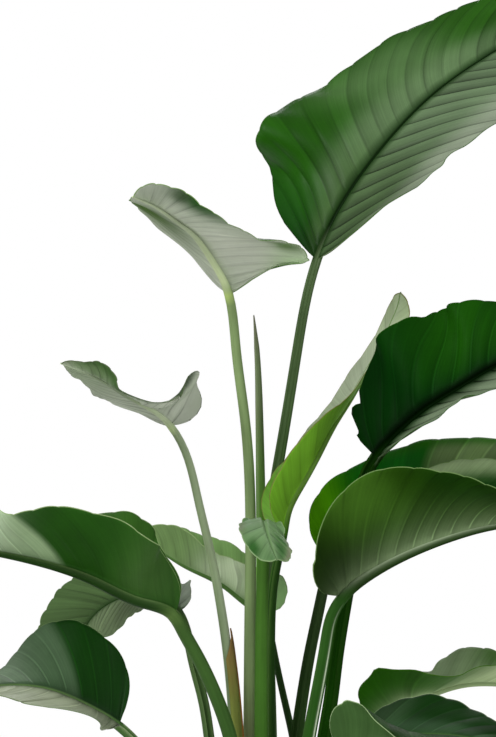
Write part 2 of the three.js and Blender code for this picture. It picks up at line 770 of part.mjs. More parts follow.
addPiece(plant, 'pot', potGeometry(), colours.pot, 0.6);
addPiece(plant, 'soil', soilGeometry(holes), colours.soil, 0.95);
fronds.forEach((frond) => {
  const colour = frond.young ? colours.youngLeaf : colours.leaf;
  addPiece(plant, frond.name, frondGeometry(frond), colour, 0.45);
});
addPiece(plant, 'leaf_rolled_new', rod(spearPoints, spearRadii, spearSides, true),
  colours.spear, 0.5);

export default plant;
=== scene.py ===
# Potted bird of paradise: paddle leaves on long stalks, in a plain tapered pot.
# Leaf and pot sizes are in millimetres and degrees; meshes are made in metres.
import bmesh
import bpy
import numpy as np
from mathutils import Matrix, Vector


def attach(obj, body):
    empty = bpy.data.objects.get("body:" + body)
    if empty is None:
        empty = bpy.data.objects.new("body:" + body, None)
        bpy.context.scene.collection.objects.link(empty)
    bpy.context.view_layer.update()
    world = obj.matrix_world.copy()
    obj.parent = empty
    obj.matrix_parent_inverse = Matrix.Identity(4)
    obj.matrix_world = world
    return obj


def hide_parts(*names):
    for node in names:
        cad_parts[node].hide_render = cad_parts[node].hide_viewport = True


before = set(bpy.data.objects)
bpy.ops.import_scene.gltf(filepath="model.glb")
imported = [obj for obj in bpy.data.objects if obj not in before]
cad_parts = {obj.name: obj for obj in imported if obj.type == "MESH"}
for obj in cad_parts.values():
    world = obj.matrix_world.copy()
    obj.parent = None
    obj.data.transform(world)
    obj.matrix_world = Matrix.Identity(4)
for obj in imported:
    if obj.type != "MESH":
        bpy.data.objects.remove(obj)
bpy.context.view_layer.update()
print("frame loaded:", len(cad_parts), "solids")

mm = 0.001


# Common tools

def linear(colour):
    # Each channel of a screen colour in hex, as light: c/12.92 when dark, else a power
    c = np.frombuffer(bytes.fromhex(colour), np.uint8) / 255
    return np.where(c < 0.04045, c / 12.92, ((c + 0.055) / 1.055) ** 2.4)


def blend(a, b, share):
    return a + (b - a) * share


def ramp(x, first, long):
    # Rises evenly from 0 at first to 1 when x is a length further on
    return np.clip((x - first) / long, 0, 1)


def unit(vectors):
    return vectors / np.maximum(np.linalg.norm(vectors, axis=-1, keepdims=True), 1e-9)


def place(name, data):
    thing = bpy.data.objects.new(name, data)
    bpy.context.scene.collection.objects.link(thing)
    return thing


def patch(points, paint, rim, grain=0, vein=0.5, mark=0, edge=50, upper=0.5):
    # A grid of points as one part of a piece's skin, with what the finish reads at each
    rows, steps = points.shape[:2]
    a = (np.arange(rows - 1)[:, None] * steps + np.arange(steps - 1)).ravel()
    made = {"points": points.reshape(-1, 3),
            "quads": np.stack([a, a + 1, a + steps + 1, a + steps], 1)}
    for key, value, wide in (("grain", grain, 2), ("paint", paint, 3), ("rim", rim, 3)):
        made[key] = (np.ones((rows, steps, wide)) * value).reshape(-1, wide)
    for key, value in (("vein", vein), ("mark", mark), ("edge", edge), ("upper", upper)):
        made[key] = (np.ones((rows, steps)) * value).ravel()
    return made


def capOver(loop, tip, paint, rim):
    # A fan from a loop of points to its tip
    return patch(np.stack([loop, np.broadcast_to(tip, loop.shape)]), paint, rim)


def makeMesh(name, patches):
    # Joins patches into one closed skin that faces outward: points closer than a hundredth
    # of a millimetre become one, and a quad with a side of no length becomes a triangle
    made = {key: np.concatenate([p[key] for p in patches]) for key in patches[0]}
    starts = np.cumsum([0] + [len(p["points"]) for p in patches[:-1]])
    quads = made["quads"] + np.repeat(starts, [len(p["quads"]) for p in patches])[:, None]
    _, first, where = np.unique(np.round(made["points"], 2), axis=0, return_index=True,
                                return_inverse=True)
    corners = where.ravel()[quads]
    keep = corners != np.roll(corners, -1, axis=1)
    sides = keep.sum(1)
    whole = (sides >= 3) & (corners[:, :2] != corners[:, 2:]).all(1)
    corners, quads, keep, sides = corners[whole], quads[whole], keep[whole], sides[whole]
    loops, source = corners[keep], quads[keep]
    mesh = bpy.data.meshes.new(name)

    def fill(rows, key, values, kind=np.float32):
        rows.foreach_set(key, values.astype(kind).ravel())

    mesh.vertices.add(len(first))
    fill(mesh.vertices, "co", made["points"][first] * mm)
    mesh.loops.add(len(loops))
    fill(mesh.loops, "vertex_index", loops, np.int32)
    mesh.polygons.add(len(sides))
    fill(mesh.polygons, "loop_start", np.cumsum(sides) - sides, np.int32)
    fill(mesh.polygons, "use_smooth", sides > 0, bool)
    mesh.update(calc_edges=True)
    fill(mesh.uv_layers.new(name="grain").data, "uv", made["grain"][source])
    for key in ("paint", "rim"):
        spots = mesh.attributes.new(key, "FLOAT_COLOR", "POINT").data
        fill(spots, "color", np.insert(made[key][first], 3, 1, axis=1))
    for key in ("vein", "mark", "edge", "upper"):
        fill(mesh.attributes.new(key, "FLOAT", "POINT").data, "value", made[key][first])
    mesh.validate()
    shell = bmesh.new()
    shell.from_mesh(mesh)
    bmesh.ops.recalc_face_normals(shell, faces=shell.faces)
    shell.to_mesh(mesh)
    shell.free()
    return place(name, mesh)


def rings(radius, height, around):
    # Rings round the upright axis; the last point of each is its first again
    turn = np.arange(around + 1) * 2 * np.pi / around
    turn[-1] = 0
    return np.stack([radius * np.cos(turn), radius * np.sin(turn), height + 0 * radius * turn], -1)


class Graph:
    # A short way to lay and join the nodes of one material, or of the room
    def __init__(self, owner):
        owner.use_nodes = True
        self.owner, self.nodes = owner, owner.node_tree.nodes
        self.surface = self.nodes.get("Principled BSDF")

    def add(self, kind, inputs=None, **settings):
        node = self.nodes.new("ShaderNode" + kind)
        for key, value in settings.items():
            setattr(node, key, value)
        for key, value in (inputs or {}).items():
            self.feed(node, key, value)
        return node

    def feed(self, node, key, value):
        if isinstance(value, bpy.types.NodeSocket):
            self.owner.node_tree.links.new(value, node.inputs[key])
        else:
            node.inputs[key].default_value = value

    def read(self, name, output="Fac"):
        return self.add("Attribute", attribute_name=name).outputs[output]

    def scale(self, value, low, high, toLow, toHigh, smooth=False):
        kind = "SMOOTHSTEP" if smooth else "LINEAR"
        return self.add("MapRange", {"Value": value, "From Min": low, "From Max": high,
                                     "To Min": toLow, "To Max": toHigh},
                        interpolation_type=kind).outputs["Result"]

    def maths(self, how, a, b):
        return self.add("Math", {0: a, 1: b}, operation=how).outputs[0]

    def noise(self, spot, size, detail, rough=0.5):
        return self.add("TexNoise", {"Vector": spot, "Scale": size, "Detail": detail,
                                     "Roughness": rough}).outputs["Fac"]

    def stretch(self, spot, size):
        return self.add("Mapping", {"Vector": spot, "Scale": size}).outputs[0]

    def tint(self, colour, factor):
        return self.add("VectorMath", {0: colour, "Scale": factor},
                        operation="SCALE").outputs[0]

    def mix(self, share, a, b):
        return self.add("Mix", {0: share, 6: a, 7: b}, data_type="RGBA").outputs[2]

    def finish(self, colour, rough, height, depth):
        bump = self.add("Bump", {"Height": height, "Distance": depth, "Strength": 1.0})
        for key, value in (("Base Color", colour), ("Roughness", rough),
                           ("Normal", bump.outputs[0])):
            self.feed(self.surface, key, value)
        return self.owner


# Camera, floor, light

camera = {"distance": 3.4, "x": -0.03, "z": 1.102, "heightSeen": 0.99495, "sensor": 36, "far": 60}
floor = {"radius": 3000, "height": -0.5, "rings": 12, "round": 96, "colour": "ecece9"}
studio = {
    "sky": 0.62,          # strength of the room's white on the plant
    "below": 0.85,        # share of it that comes from below
    "mirrored": 0.25,     # share of it that gloss reflects
    "backdrop": 1.0,      # white seen behind the plant
    "middle": (0, 0, 1.1),
    "key": 125, "keySize": 2.2, "keyPlace": (-2.3, -2.6, 3.2),
    "fill": 30, "fillSize": 2.5, "fillPlace": (3.2, -2.4, 1.4),
    "back": 45, "backSize": 2.0, "backPlace": (0.6, 3.0, 2.6),
}


def aim(thing, spot, target):
    # Stands a lamp or camera at a spot, looking at the target with its top upward
    thing.location = spot
    look = Vector(target) - Vector(spot)
    thing.rotation_euler = look.to_track_quat("-Z", "Y").to_euler()


def makeCamera():
    lens = bpy.data.cameras.new("camera")
    lens.sensor_width = camera["sensor"]
    lens.lens = camera["sensor"] * camera["distance"] / camera["heightSeen"]
    lens.clip_end = camera["far"]
    eye = place("camera", lens)
    aim(eye, (camera["x"], -camera["distance"], camera["z"]), (camera["x"], 0, camera["z"]))
    bpy.context.scene.camera = eye


def makeStudio():
    # The room is white all round, dimmer below and in gloss; the view sees plain white
    scene = bpy.context.scene
    scene.view_settings.view_transform = "Standard"
    scene.view_settings.look = "None"
    g = Graph(bpy.data.worlds.new("room"))
    scene.world = g.owner
    g.nodes.clear()
    ray = g.add("LightPath")
    rise = g.add("SeparateXYZ", {0: g.add("TexCoord").outputs["Generated"]}).outputs["Z"]
    sky = g.add("Background", {
        "Color": g.scale(rise, -0.6, 0.7, studio["below"], 1.0),
        "Strength": g.scale(ray.outputs["Is Glossy Ray"], 0.0, 1.0, studio["sky"],
                            studio["sky"] * studio["mirrored"])})
    seen = g.add("Background", {"Color": (1, 1, 1, 1), "Strength": studio["backdrop"]})
    choose = g.add("MixShader", {0: ray.outputs["Is Camera Ray"], 1: sky.outputs[0],
                                 2: seen.outputs[0]})
    g.add("OutputWorld", {"Surface": choose.outputs[0]})
    for name in ("key", "fill", "back"):
        lamp = bpy.data.lights.new(name, "AREA")
        lamp.energy, lamp.size = studio[name], studio[name + "Size"]
        aim(place(name, lamp), studio[name + "Place"], studio["middle"])


def makeFloor():
    # A round pale sheet: rings of evenly growing radius round the pot, flat at one height
    radius = np.linspace(0, floor["radius"], floor["rings"] + 1)[:, None]
    ground = makeMesh("floor", [patch(rings(radius, floor["height"], floor["round"]), 1, 1)])
    g = Graph(bpy.data.materials.new("floorPaint"))
    g.feed(g.surface, "Base Color", (*linear(floor["colour"]), 1))
    g.feed(g.surface, "Roughness", 0.9)
    ground.data.materials.append(g.owner)


makeCamera()
makeStudio()
makeFloor()
print("camera, light and floor made")


# Leaf geometry

blade = {
    "thickAtRib": 1.4, "thickAtEdge": 0.8,
    "steps": 16,            # steps from the rib to the margin
    "rowsPerPleat": 10,     # rows from one main vein to the next
    "scallop": 1.6,         # how far a pleat's crest stands out at the margin
    "crestMean": 0.6,       # the height of a crest that leaves the surface where it is
    "baseCrowding": 0.15,   # how much the veins crowd where the blade starts
    "lobeFlow": 1.15,       # how the sweep grows from the rib to the margin
    "ribAtTip": 1.3, "ruffle": 0.35, "ruffleRun": 2.7, "rufflePhase": 2.1, "otherPhase": 1.7,
    "crossCrowding": 0.9,   # power by which the steps crowd toward the margin
    "veinBend": 1.2,        # power by which a vein turns forward
    "atMargin": 6,          # power of v that keeps a change to the margin
    "scallopFrom": 40, "pleatFrom": 30,   # half widths below which these fade away
    "pleatStart": 0.06, "pleatFade": 0.75, "pleatFall": 1.3, "thinEnd": 0.02, "bulge": 0.25,
    # Next: how soon a painted sheen past a row comes in, and the crest height that painted pleat
    # shade leaves unchanged
    "rowBlend": 0.035, "pleatShadeMean": 0.65, "markFrom": 6,
}
# Each pleat's depth and lean by chance: the mean, the spread, and the least and the most
pleatChance = {"depth": (1, 0.3, 0.4, 1.8), "lean": (0.85, 0.15, 0.55, 1.2), "sharp": 0.7}
stalkShape = {
    "rows": 64, "keelSteps": 20, "grooveSteps": 6,
    "lineSteps": 24,                    # points of a line from one knot to the next
    "ridgeOut": 0.55, "ridgeUp": 0.6,   # where the ridges stand, in radii from the centre
    "grooveUp": 0.22, "grooveDepth": 0.4, "keelRound": 0.95, "keelTurn": (62, 298),
    "thinning": 0.8,                    # power by which the radius falls toward the tip
    "ribFrom": 0.08, "tipFrom": 0.5,    # shares of the rib where its colour and its tip's begin
    "ringShare": 0.8, "girth": 3.0, "endOut": 1.5,
}


def smoothLine(points):
    # A natural cubic spline through the points, spaced by chord length: the mix of each
    # span's ends, plus the cubed shares less the shares, times the bends at both ends
    p = np.asarray(points, float)
    span = np.linalg.norm(np.diff(p, axis=0), axis=1)
    knots = np.concatenate([[0], np.cumsum(span)])
    count, steps = len(p), stalkShape["lineSteps"]
    system, wanted = np.zeros((count, count)), np.zeros((count, 3))
    system[0, 0] = system[-1, -1] = 1
    for i in range(1, count - 1):
        system[i, i - 1:i + 2] = span[i - 1], 2 * (span[i - 1] + span[i]), span[i]
        wanted[i] = 6 * ((p[i + 1] - p[i]) / span[i] - (p[i] - p[i - 1]) / span[i - 1])
    bend = np.linalg.solve(system, wanted)
    share = np.arange(steps) / steps
    s = np.concatenate([(knots[:-1, None] + span[:, None] * share).ravel(), knots[-1:]])
    i = np.clip(np.searchsorted(knots, s, side="right") - 1, 0, count - 2)
    h = span[i][:, None]
    b = (s - knots[i])[:, None] / h
    a = 1 - b
    curve = (a ** 3 - a) * bend[i] + (b ** 3 - b) * bend[i + 1]
    return a * p[i] + b * p[i + 1] + curve * h * h / 6


def alongLine(line, shares):
    # Points and directions at shares of a line's length, and that length
    step = np.linalg.norm(np.diff(line, axis=0), axis=1)
    run = np.concatenate([[0], np.cumsum(step)])
    slope = np.gradient(line, run, axis=0)
    s = np.asarray(shares) * run[-1]
    point, forward = (np.stack([np.interp(s, run, rows[:, k]) for k in range(3)], -1)
                      for rows in (line, slope))
    return point, unit(forward), run[-1]


def leafLines(leaf):
    # The lines of the stalk and of the rib, which meet at the collar
    whole = smoothLine(leaf["stalk"] + leaf["rib"])
    collar = stalkShape["lineSteps"] * (len(leaf["stalk"]) - 1)
    return whole[:collar + 1], whole[collar:]


def between(values, u):
    # A smooth curve (Catmull-Rom) through values at even stations, read at shares u
    v = np.asarray(values, float)
    v = v[:, None] if v.ndim == 1 else v
    spot = np.clip(u, 0, 1) * (len(v) - 1)
    i = np.clip(spot.astype(int), 0, len(v) - 2)
    t = (spot - i)[..., None]
    pad = np.vstack([2 * v[0] - v[1], v, 2 * v[-1] - v[-2]])
    p0, p1, p2, p3 = pad[i], pad[i + 1], pad[i + 2], pad[i + 3]
    curve = 2 * p1 + (p2 - p0) * t + (2 * p0 - 5 * p1 + 4 * p2 - p3) * t ** 2
    curve = 0.5 * (curve + (3 * p1 - p0 - 3 * p2 + p3) * t ** 3)
    return curve[..., 0] if v.shape[1] == 1 else curve


def fullness(leaf, u):
    # Outline of a half blade: below the widest place a rounded base, one less the remaining
    # share to a power, to one over that power; above it one less the share to a power
    widest, base = leaf["widest"], leaf["base"]
    low = np.clip(1 - u / widest, 0, 1)
    high = ramp(u, widest, 1 - widest)
    return np.where(u < widest, (1 - low ** base) ** (1 / base),
                    1 - high ** leaf.get("tip", 1.9))


def ribRadius(leaf, u):
    # The rib thins from the collar to the tip by a power of the remaining share
    return blend(blade["ribAtTip"], leaf["collar"], (1 - u) ** stalkShape["thinning"])


def stalkRadius(leaf, share):
    return blend(leaf["foot"], leaf["collar"], share ** stalkShape["thinning"])


def ribFrame(leaf, rib, u):
    # Centre, forward, face and left directions of the rib at shares u
    point, forward, length = alongLine(rib, u)
    face = between(leaf["face"], u)
    face = unit(face - (face * forward).sum(-1, keepdims=True) * forward)
    return point, forward, face, np.cross(face, forward), length


def pick(value, side):
    # One value for both halves, or the left one and the right one
    return value if np.isscalar(value) else value[0 if side > 0 else 1]


def halfBlade(leaf, rib, start, side, crest):
    # Middle surface of one half blade. Each vein leaves the rib at a start share and runs
    # out and forward, so its points lie at shares u nearer the tip. Across the blade the
    # section is an arc: out is the difference of sines over the curl, up that of cosines,
    # and a wave that grows with the square of v moves it square to the arc.
    half = leaf["left"] if side > 0 else leaf["right"]
    v = np.linspace(0, 1, blade["steps"] + 1)[None, :] ** blade["crossCrowding"]

    def width(u):
        return half["width"] * between(half["scale"], u) * fullness(leaf, u)

    length = alongLine(rib, [0.0])[2]
    run = max(pick(leaf["veinRun"], side) - np.mean(half["sweep"]), 0)
    reach = width(start) * run / length
    rest = np.maximum(1 - start, 1e-6)
    u = 1 - rest[:, None] * np.exp(-(reach / rest)[:, None] * v ** blade["veinBend"])
    point, forward, face, left, length = ribFrame(leaf, rib, u)
    wide, margin = width(u), v ** blade["atMargin"]
    for spot, depth, spread in half["notches"]:
        wide = wide * (1 - depth * np.exp(-((u - spot) / spread) ** 2) * margin)
    wide = wide + (blade["scallop"] * (crest[:, None] - blade["crestMean"]) * margin
                   * ramp(wide, 0, blade["scallopFrom"]))
    lift, curl = (np.radians(between(half[key], u)) for key in ("lift", "curl"))
    curl = np.where(np.abs(curl) < 0.01, 0.01, curl)
    first = lift - curl / 2
    turn = first + curl * v
    height, count, phase = leaf["wave"]
    phase = phase + (0 if side > 0 else blade["otherPhase"])
    wave = height * v ** 2 * fullness(leaf, u) * (
        np.sin(2 * np.pi * count * u + phase)
        + blade["ruffle"] * v * np.sin(2 * np.pi * blade["ruffleRun"] * count * u
                                       + blade["rufflePhase"] * phase))
    radius = ribRadius(leaf, u)
    out = (stalkShape["ridgeOut"] * radius + wide * (np.sin(turn) - np.sin(first)) / curl
           - wave * np.sin(turn))
    up = (stalkShape["ridgeUp"] * radius + wide * (np.cos(first) - np.cos(turn)) / curl
          + wave * np.cos(turn))
    run = wide * between(half["sweep"], u) * v ** blade["lobeFlow"]
    middle = (point + side * left * out[..., None] + face * up[..., None]
              + forward * run[..., None])
    normal = np.cross(np.gradient(middle, axis=0), np.gradient(middle, axis=1)) * side
    flat = np.linalg.norm(normal, axis=-1) < 1e-4
    normal = np.where(flat[..., None], face, unit(normal))
    normal[0], normal[-1] = face[0], face[-1]
    return middle, normal, u, np.broadcast_to(v, u.shape), wide


def pleatCrest(leaf, rows, seed):
    # Between two main veins the blade swells to a crest, a sine to a power whose place leans
    # to one side, and each pleat has its own depth and tone by chance
    chance = np.random.default_rng(seed)
    pleats = leaf["pleats"]
    phase = np.arange(rows + 1) * pleats / rows
    which = np.minimum(phase.astype(int), pleats - 1)

    def draw(mean, spread, least=-9, most=9):
        return np.clip(chance.normal(mean, spread, pleats), least, most)[which]

    depth, tone, lean = draw(*pleatChance["depth"]), draw(0, 1), draw(*pleatChance["lean"])
    across = phase % 1
    return np.sin(np.pi * across ** lean) ** pleatChance["sharp"], across, depth, tone


def growFrond(node, leaf, seed):
    # Each half is its middle surface moved by the pleats, then by half the thickness to
    # both faces, with a rounded margin between them
    rows = blade["rowsPerPleat"] * leaf["pleats"]
    t = np.arange(rows + 1) / rows
    crowd = blade["baseCrowding"]
    start = t ** 3 / (t * t + crowd * crowd) * (1 + crowd * crowd)
    stalkLine, rib = leafLines(leaf)
    span = np.linalg.norm(np.diff(rib, axis=0), axis=1).sum()
    rim = linear(leaf["rim"])
    patches, edges = [], {}
    for side in (1, -1):
        crest, across, depth, tone = pleatCrest(leaf, rows, seed + side)
        middle, normal, u, v, wide = halfBlade(leaf, rib, start, side, crest)
        swell = 1 - np.exp(-v / blade["pleatStart"])
        swell = swell * (1 - blade["pleatFade"] * v ** blade["pleatFall"])
        swell = swell * ramp(wide, 0, blade["pleatFrom"])
        rise = leaf["pleatDepth"] * depth * (crest - blade["crestMean"])
        middle = middle + normal * (rise[:, None] * swell)[..., None]
        inside = ramp(start, 0, blade["thinEnd"]) * ramp(1 - start, 0, blade["thinEnd"])
        thick = blend(blade["thickAtRib"], blade["thickAtEdge"], v * inside[:, None])
        nearVein = (1 - 2 * np.abs(across - 0.5))[:, None]
        grain = np.stack([start[:, None] * span + 0 * v, wide * v], -1) * mm
        facts = {"u": u, "v": v, "away": wide * v, "side": side, "start": start[:, None],
                 "across": across[:, None], "swell": swell, "tone": tone[:, None],
                 "crest": (crest * depth)[:, None]}
        for upper in (1, 0):
            surface = middle + normal * (thick * (0.5 if upper else -0.5))[..., None]
            colour, mark = paintBlade(leaf["upper" if upper else "under"], facts)
            patches.append(patch(surface, colour, rim, grain, nearVein, mark,
                                 wide * (1 - v), upper))
            edges[side, upper] = surface
        top, low = edges[side, 1][:, -1], edges[side, 0][:, -1]
        bulge = (top + low) / 2 + unit(middle[:, -1] - middle[:, -2]) * blade["bulge"]
        bulge[[0, -1]] = (top + low)[[0, -1]] / 2
        patches.append(patch(np.stack([top, bulge, low], 1), rim, rim, edge=0))
    patches += growStalk(leaf, stalkLine, rib, start, edges)
    words = node.split("_")[1:]
    piece = makeMesh(words[0] + "".join(word.title() for word in words[1:]) + "Frond", patches)
    dress(piece, node, leaf)


def paintBlade(looks, facts):
    # A face's colour steps to another past a given vein's row, a painted sheen, then goes to
    # each soft patch by that patch's strength times a bell along and across the half, and to
    # painted shade and sheen beside the rib by the fall of distance from the rib. Painted
    # shade makes a pleat's crest lighter than its valleys, painted side light brightens it
    # evenly from one vein to the next by its slant, and each pleat has its own tone.
    u, v, side, away, swell = (facts[key] for key in ("u", "v", "side", "away", "swell"))
    colour = linear(looks["colour"]) * np.ones((*u.shape, 1))
    # A colour past a given vein's row is painted sheen over that part of the blade
    for where, first, tint, strength in looks.get("pastRow", []):
        if where in (0, side):
            past = ramp(facts["start"], first, blade["rowBlend"])[..., None]
            colour = blend(colour, linear(tint), strength * past)
    for where, tint, *shares in looks.get("patches", []):
        if where in (0, side):
            spot, out, long, wide, strength = np.array(shares) / 100
            bell = np.exp(-np.abs((u - spot) / long) ** 3 - np.abs((v - out) / wide) ** 3)
            colour = blend(colour, linear(tint), (strength * bell)[..., None])
    # Painted shade beside the rib where this colour is darker than the blade, painted sheen where
    # it is paler
    byRib = np.exp(-away / looks.get("ribReach", 10))[..., None] * looks.get("ribShare", 0.6)
    colour = blend(colour, linear(looks.get("byRib", looks["colour"])), byRib)
    # Painted shade in each pleat's valleys with painted light on its crest, and painted side light
    # rising across the pleat
    relief = looks.get("relief", 0.22) * (facts["crest"] - blade["pleatShadeMean"]) * swell
    slant = pick(looks.get("slant", 0.0), side) * (facts["across"] - 0.5) * swell * 2
    colour = colour * (1 + relief + slant + looks.get("bands", 0.05) * facts["tone"])[..., None]
    # Vein lines: a negative mark is painted crease shade in the pleats' valleys
    mark = pick(looks.get("veins", 0.0), side) * (1 - looks.get("veinFade", 0.75) * v)
    spot, long = looks.get("veinAt", (0.5, 9))
    mark = mark * ramp(away, 0, blade["markFrom"]) * np.exp(-((u - spot) / long) ** 2)
    return np.clip(colour, 0.002, 1), mark


def carryFace(face, forwards):
    # Carries an upper side down a line of directions, from last to first, without twist
    carried = [face]
    for forward in forwards[::-1]:
        carried.append(unit(carried[-1] - np.dot(carried[-1], forward) * forward))
    return np.array(carried[:0:-1])


def growStalk(leaf, stalkLine, rib, start, edges):
    # The stalk and rib are a channel carried along the leaf: a groove between two ridges
    # whose depth grows with the square of the distance from the ridges, and a round keel
    shape = stalkShape
    share = np.arange(shape["rows"]) / shape["rows"]
    point, forward, length = alongLine(stalkLine, share)
    ribPoint, ribForward, ribFace, ribLeft, ribLength = ribFrame(leaf, rib, start)
    face = carryFace(ribFace[0], forward)
    left = np.cross(face, forward)
    radius = stalkRadius(leaf, share)[:, None]
    ridge = {}
    for side, upper in edges:
        middle = point + side * shape["ridgeOut"] * radius * left + shape["ridgeUp"] * radius * face
        away = face * (upper - 0.5) * blade["thickAtRib"]
        ridge[side, upper] = np.vstack([middle + away, edges[side, upper][:, 0]])
    point, face, left = (np.vstack(pair)[:, None] for pair in (
        (point, ribPoint), (face, ribFace), (left, ribLeft)))
    radius = np.vstack([radius, ribRadius(leaf, start)[:, None]])
    run = np.concatenate([share * length, length + start * ribLength])[:, None]
    onStalk = np.clip(1 - run / length, 0, 1)
    ribShare = ramp(run, length, ribLength)
    toRib = ramp(ribShare, 0, shape["ribFrom"])

    def strip(outs, ups, upper):
        inner = point + left * (radius * outs)[..., None] + face * (radius * ups)[..., None]
        first, last = ridge[1, upper][:, None], ridge[-1, upper][:, None]
        return np.concatenate([first, inner, last], 1)

    x = np.linspace(shape["ridgeOut"], -shape["ridgeOut"], shape["grooveSteps"] + 1)[1:-1]
    groove = strip(x, shape["grooveUp"] + shape["grooveDepth"] * (x / shape["ridgeOut"]) ** 2, 1)
    turn = np.radians(np.linspace(*shape["keelTurn"], shape["keelSteps"] + 1))
    flat = shape["keelRound"] * (1 - leaf.get("keelFlat", 0.0) * toRib)
    keel = strip(shape["keelRound"] * np.sin(turn), flat * np.cos(turn), 0)
    onStalk, ribShare, toRib = onStalk[..., None], ribShare[..., None], toRib[..., None]

    def tone(key, other="rim"):
        return linear(leaf.get(key, leaf[other]))

    base = blend(tone("stalkTop"), tone("stalkFoot"), onStalk ** leaf.get("stalkFall", 1.0))
    if "footTint" in leaf:
        tint, reach = leaf["footTint"]
        base = blend(base, linear(tint), np.exp(-((1 - onStalk) / reach) ** 3))
    ring = np.exp(-((run - length) / leaf.get("ringWide", 14)) ** 2)[..., None]
    byCollar = blend(base, tone("ring", "stalkTop"), ring * shape["ringShare"])
    rim, crestTone = tone("rim"), tone("stalkCrest", "crest")

    def skin(points, ribColour, tip, upper):
        # spot goes from 0 at one ridge to 1 at the other
        spot = np.linspace(0, 1, points.shape[1])[None, :]
        ribTone = blend(ribColour, tip, ramp(ribShare, 0, shape["tipFrom"]))
        colour = blend(byCollar, ribTone, toRib)
        # Near each ridge a light crest line, partly the ridge's own paler colour and partly a
        # painted highlight
        near = np.exp(-np.minimum(spot, 1 - spot) / leaf.get("crestWide", 0.06))[..., None]
        high = blend(ribColour, tone("crest"), leaf.get("crestOnRib", 0.5))
        crest = blend(crestTone, high, toRib)
        colour = blend(colour, crest, near * leaf.get("crestShare", 0.8))
        # A painted highlight line along the keel, on the stalk only
        if upper < 0.5 and "keelHighlight" in leaf:
            where, wide, tint = leaf["keelHighlight"]
            line = np.exp(-((spot - where) / wide) ** 2)[..., None]
            colour = blend(colour, linear(tint), line * np.clip(onStalk * 6, 0, 1))
        grain = np.stack([spot * shape["girth"] * radius, run + 0 * spot], -1) * mm
        return patch(points, colour, rim, grain, upper=upper)

    # The groove's colour; the darkest grooves are painted shade in the channel
    parts = [skin(groove, tone("groove"), tone("groove"), 0.6),
             skin(keel, tone("keel"), tone("keelTip", "keel"), 0.4)]
    crests = {side: 0.5 * (ridge[side, 1] + ridge[side, 0]) for side in (1, -1)}
    for side in (1, -1):
        band = np.stack([ridge[side, 1], crests[side], ridge[side, 0]], 1)[:len(share) + 1]
        parts.append(patch(band, crestTone, rim))
    for end, paint in ((0, base[0]), (-1, tone("keel"))):
        loop = np.vstack([groove[end], crests[-1][end][None], keel[end][::-1],
                          crests[1][end][None], groove[end][:1]])
        tip = loop[:-1].mean(0) - end * ribForward[-1] * blade["ribAtTip"] * shape["endOut"]
        parts.append(capOver(loop, tip, paint, rim))
    return parts


# Leaf finish

leafFinish = {
    "upperRough": 0.44, "underRough": 0.6, "shine": 0.09, "darkShine": 0.012,
    "veinWidth": 0.16, "rimWidth": 1.1, "fineVeins": 420, "fineDepth": 0.06,
    "fineShade": (0.9, 1.1), "mottle": 16, "mottleShade": (0.9, 1.1),
    "speck": 140, "speckRough": (-0.04, 0.04), "dust": 900, "dustDepth": 0.02,
}


def makeLeafSkin(name, shine):
    looks = leafFinish
    g = Graph(bpy.data.materials.new(name))
    grain = g.add("UVMap", uv_map="grain").outputs[0]
    spot = g.add("TexCoord").outputs["Object"]
    # Vein lines darken or lighten by the mark: dark ones are painted crease shade in the pleats'
    # valleys, light ones are partly the veins' own colour and partly painted sheen
    line = g.scale(g.read("vein"), 0.0, looks["veinWidth"], 1.0, 0.0, True)
    veins = g.maths("ADD", g.maths("MULTIPLY", line, g.read("mark")), 1.0)
    fine = g.noise(g.stretch(grain, (looks["fineVeins"], 9, 1)), 1.0, 2.5)
    mottle = g.noise(spot, looks["mottle"], 3.0)
    shades = g.maths("MULTIPLY", g.scale(fine, 0.3, 0.7, *looks["fineShade"]),
                     g.scale(mottle, 0.3, 0.7, *looks["mottleShade"]))
    colour = g.tint(g.read("paint", "Color"), g.maths("MULTIPLY", veins, shades))
    rim = g.scale(g.read("edge"), looks["rimWidth"] * 0.5, looks["rimWidth"], 1.0, 0.0, True)
    rough = g.scale(g.read("upper"), 0.0, 1.0, looks["underRough"], looks["upperRough"])
    speck = g.scale(g.noise(spot, looks["speck"], 2.0), 0.3, 0.7, *looks["speckRough"])
    dust = g.maths("MULTIPLY", g.noise(spot, looks["dust"], 1.0), looks["dustDepth"])
    height = g.maths("ADD", g.maths("MULTIPLY", fine, looks["fineDepth"]), dust)
    g.feed(g.surface, "Specular IOR Level", shine)
    return g.finish(g.mix(rim, colour, g.read("rim", "Color")), g.maths("ADD", rough, speck),
                    height, mm)


leafSkin = makeLeafSkin("leafSkin", leafFinish["shine"])
darkLeafSkin = makeLeafSkin("darkLeafSkin", leafFinish["darkShine"])


def dress(piece, node, leaf):
    piece.data.materials.append(darkLeafSkin if leaf.get("dark") else leafSkin)
    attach(piece, "root")
    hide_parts(node)


# Leaves. A patch of colour has the half it is on (0 for both), its tint, and in percent its
# place along and across the half, its reach along and across, and its strength. Many patches
# are painted light: pale painted sheen, dark painted shade, and bright green painted where
# light shines through the blade; the rest are the leaf's own tone. The colour by the rib is
# painted shade and sheen, a colour past a row is painted sheen, each pleat gets painted shade
# and side light, dark vein lines are painted crease shade, a line along the keel is a painted
# highlight, and the darkest groove colours are painted shade.

def half(width, scale, lift, sweep, curl=(0, 0, 0), notches=()):
    # Scale and sweep are in percent of the width, at even stations along the rib
    return {"width": width, "scale": np.array(scale) / 100, "lift": lift, "curl": curl,
            "sweep": np.array(sweep) / 100, "notches": notches}


leafSeed = 40
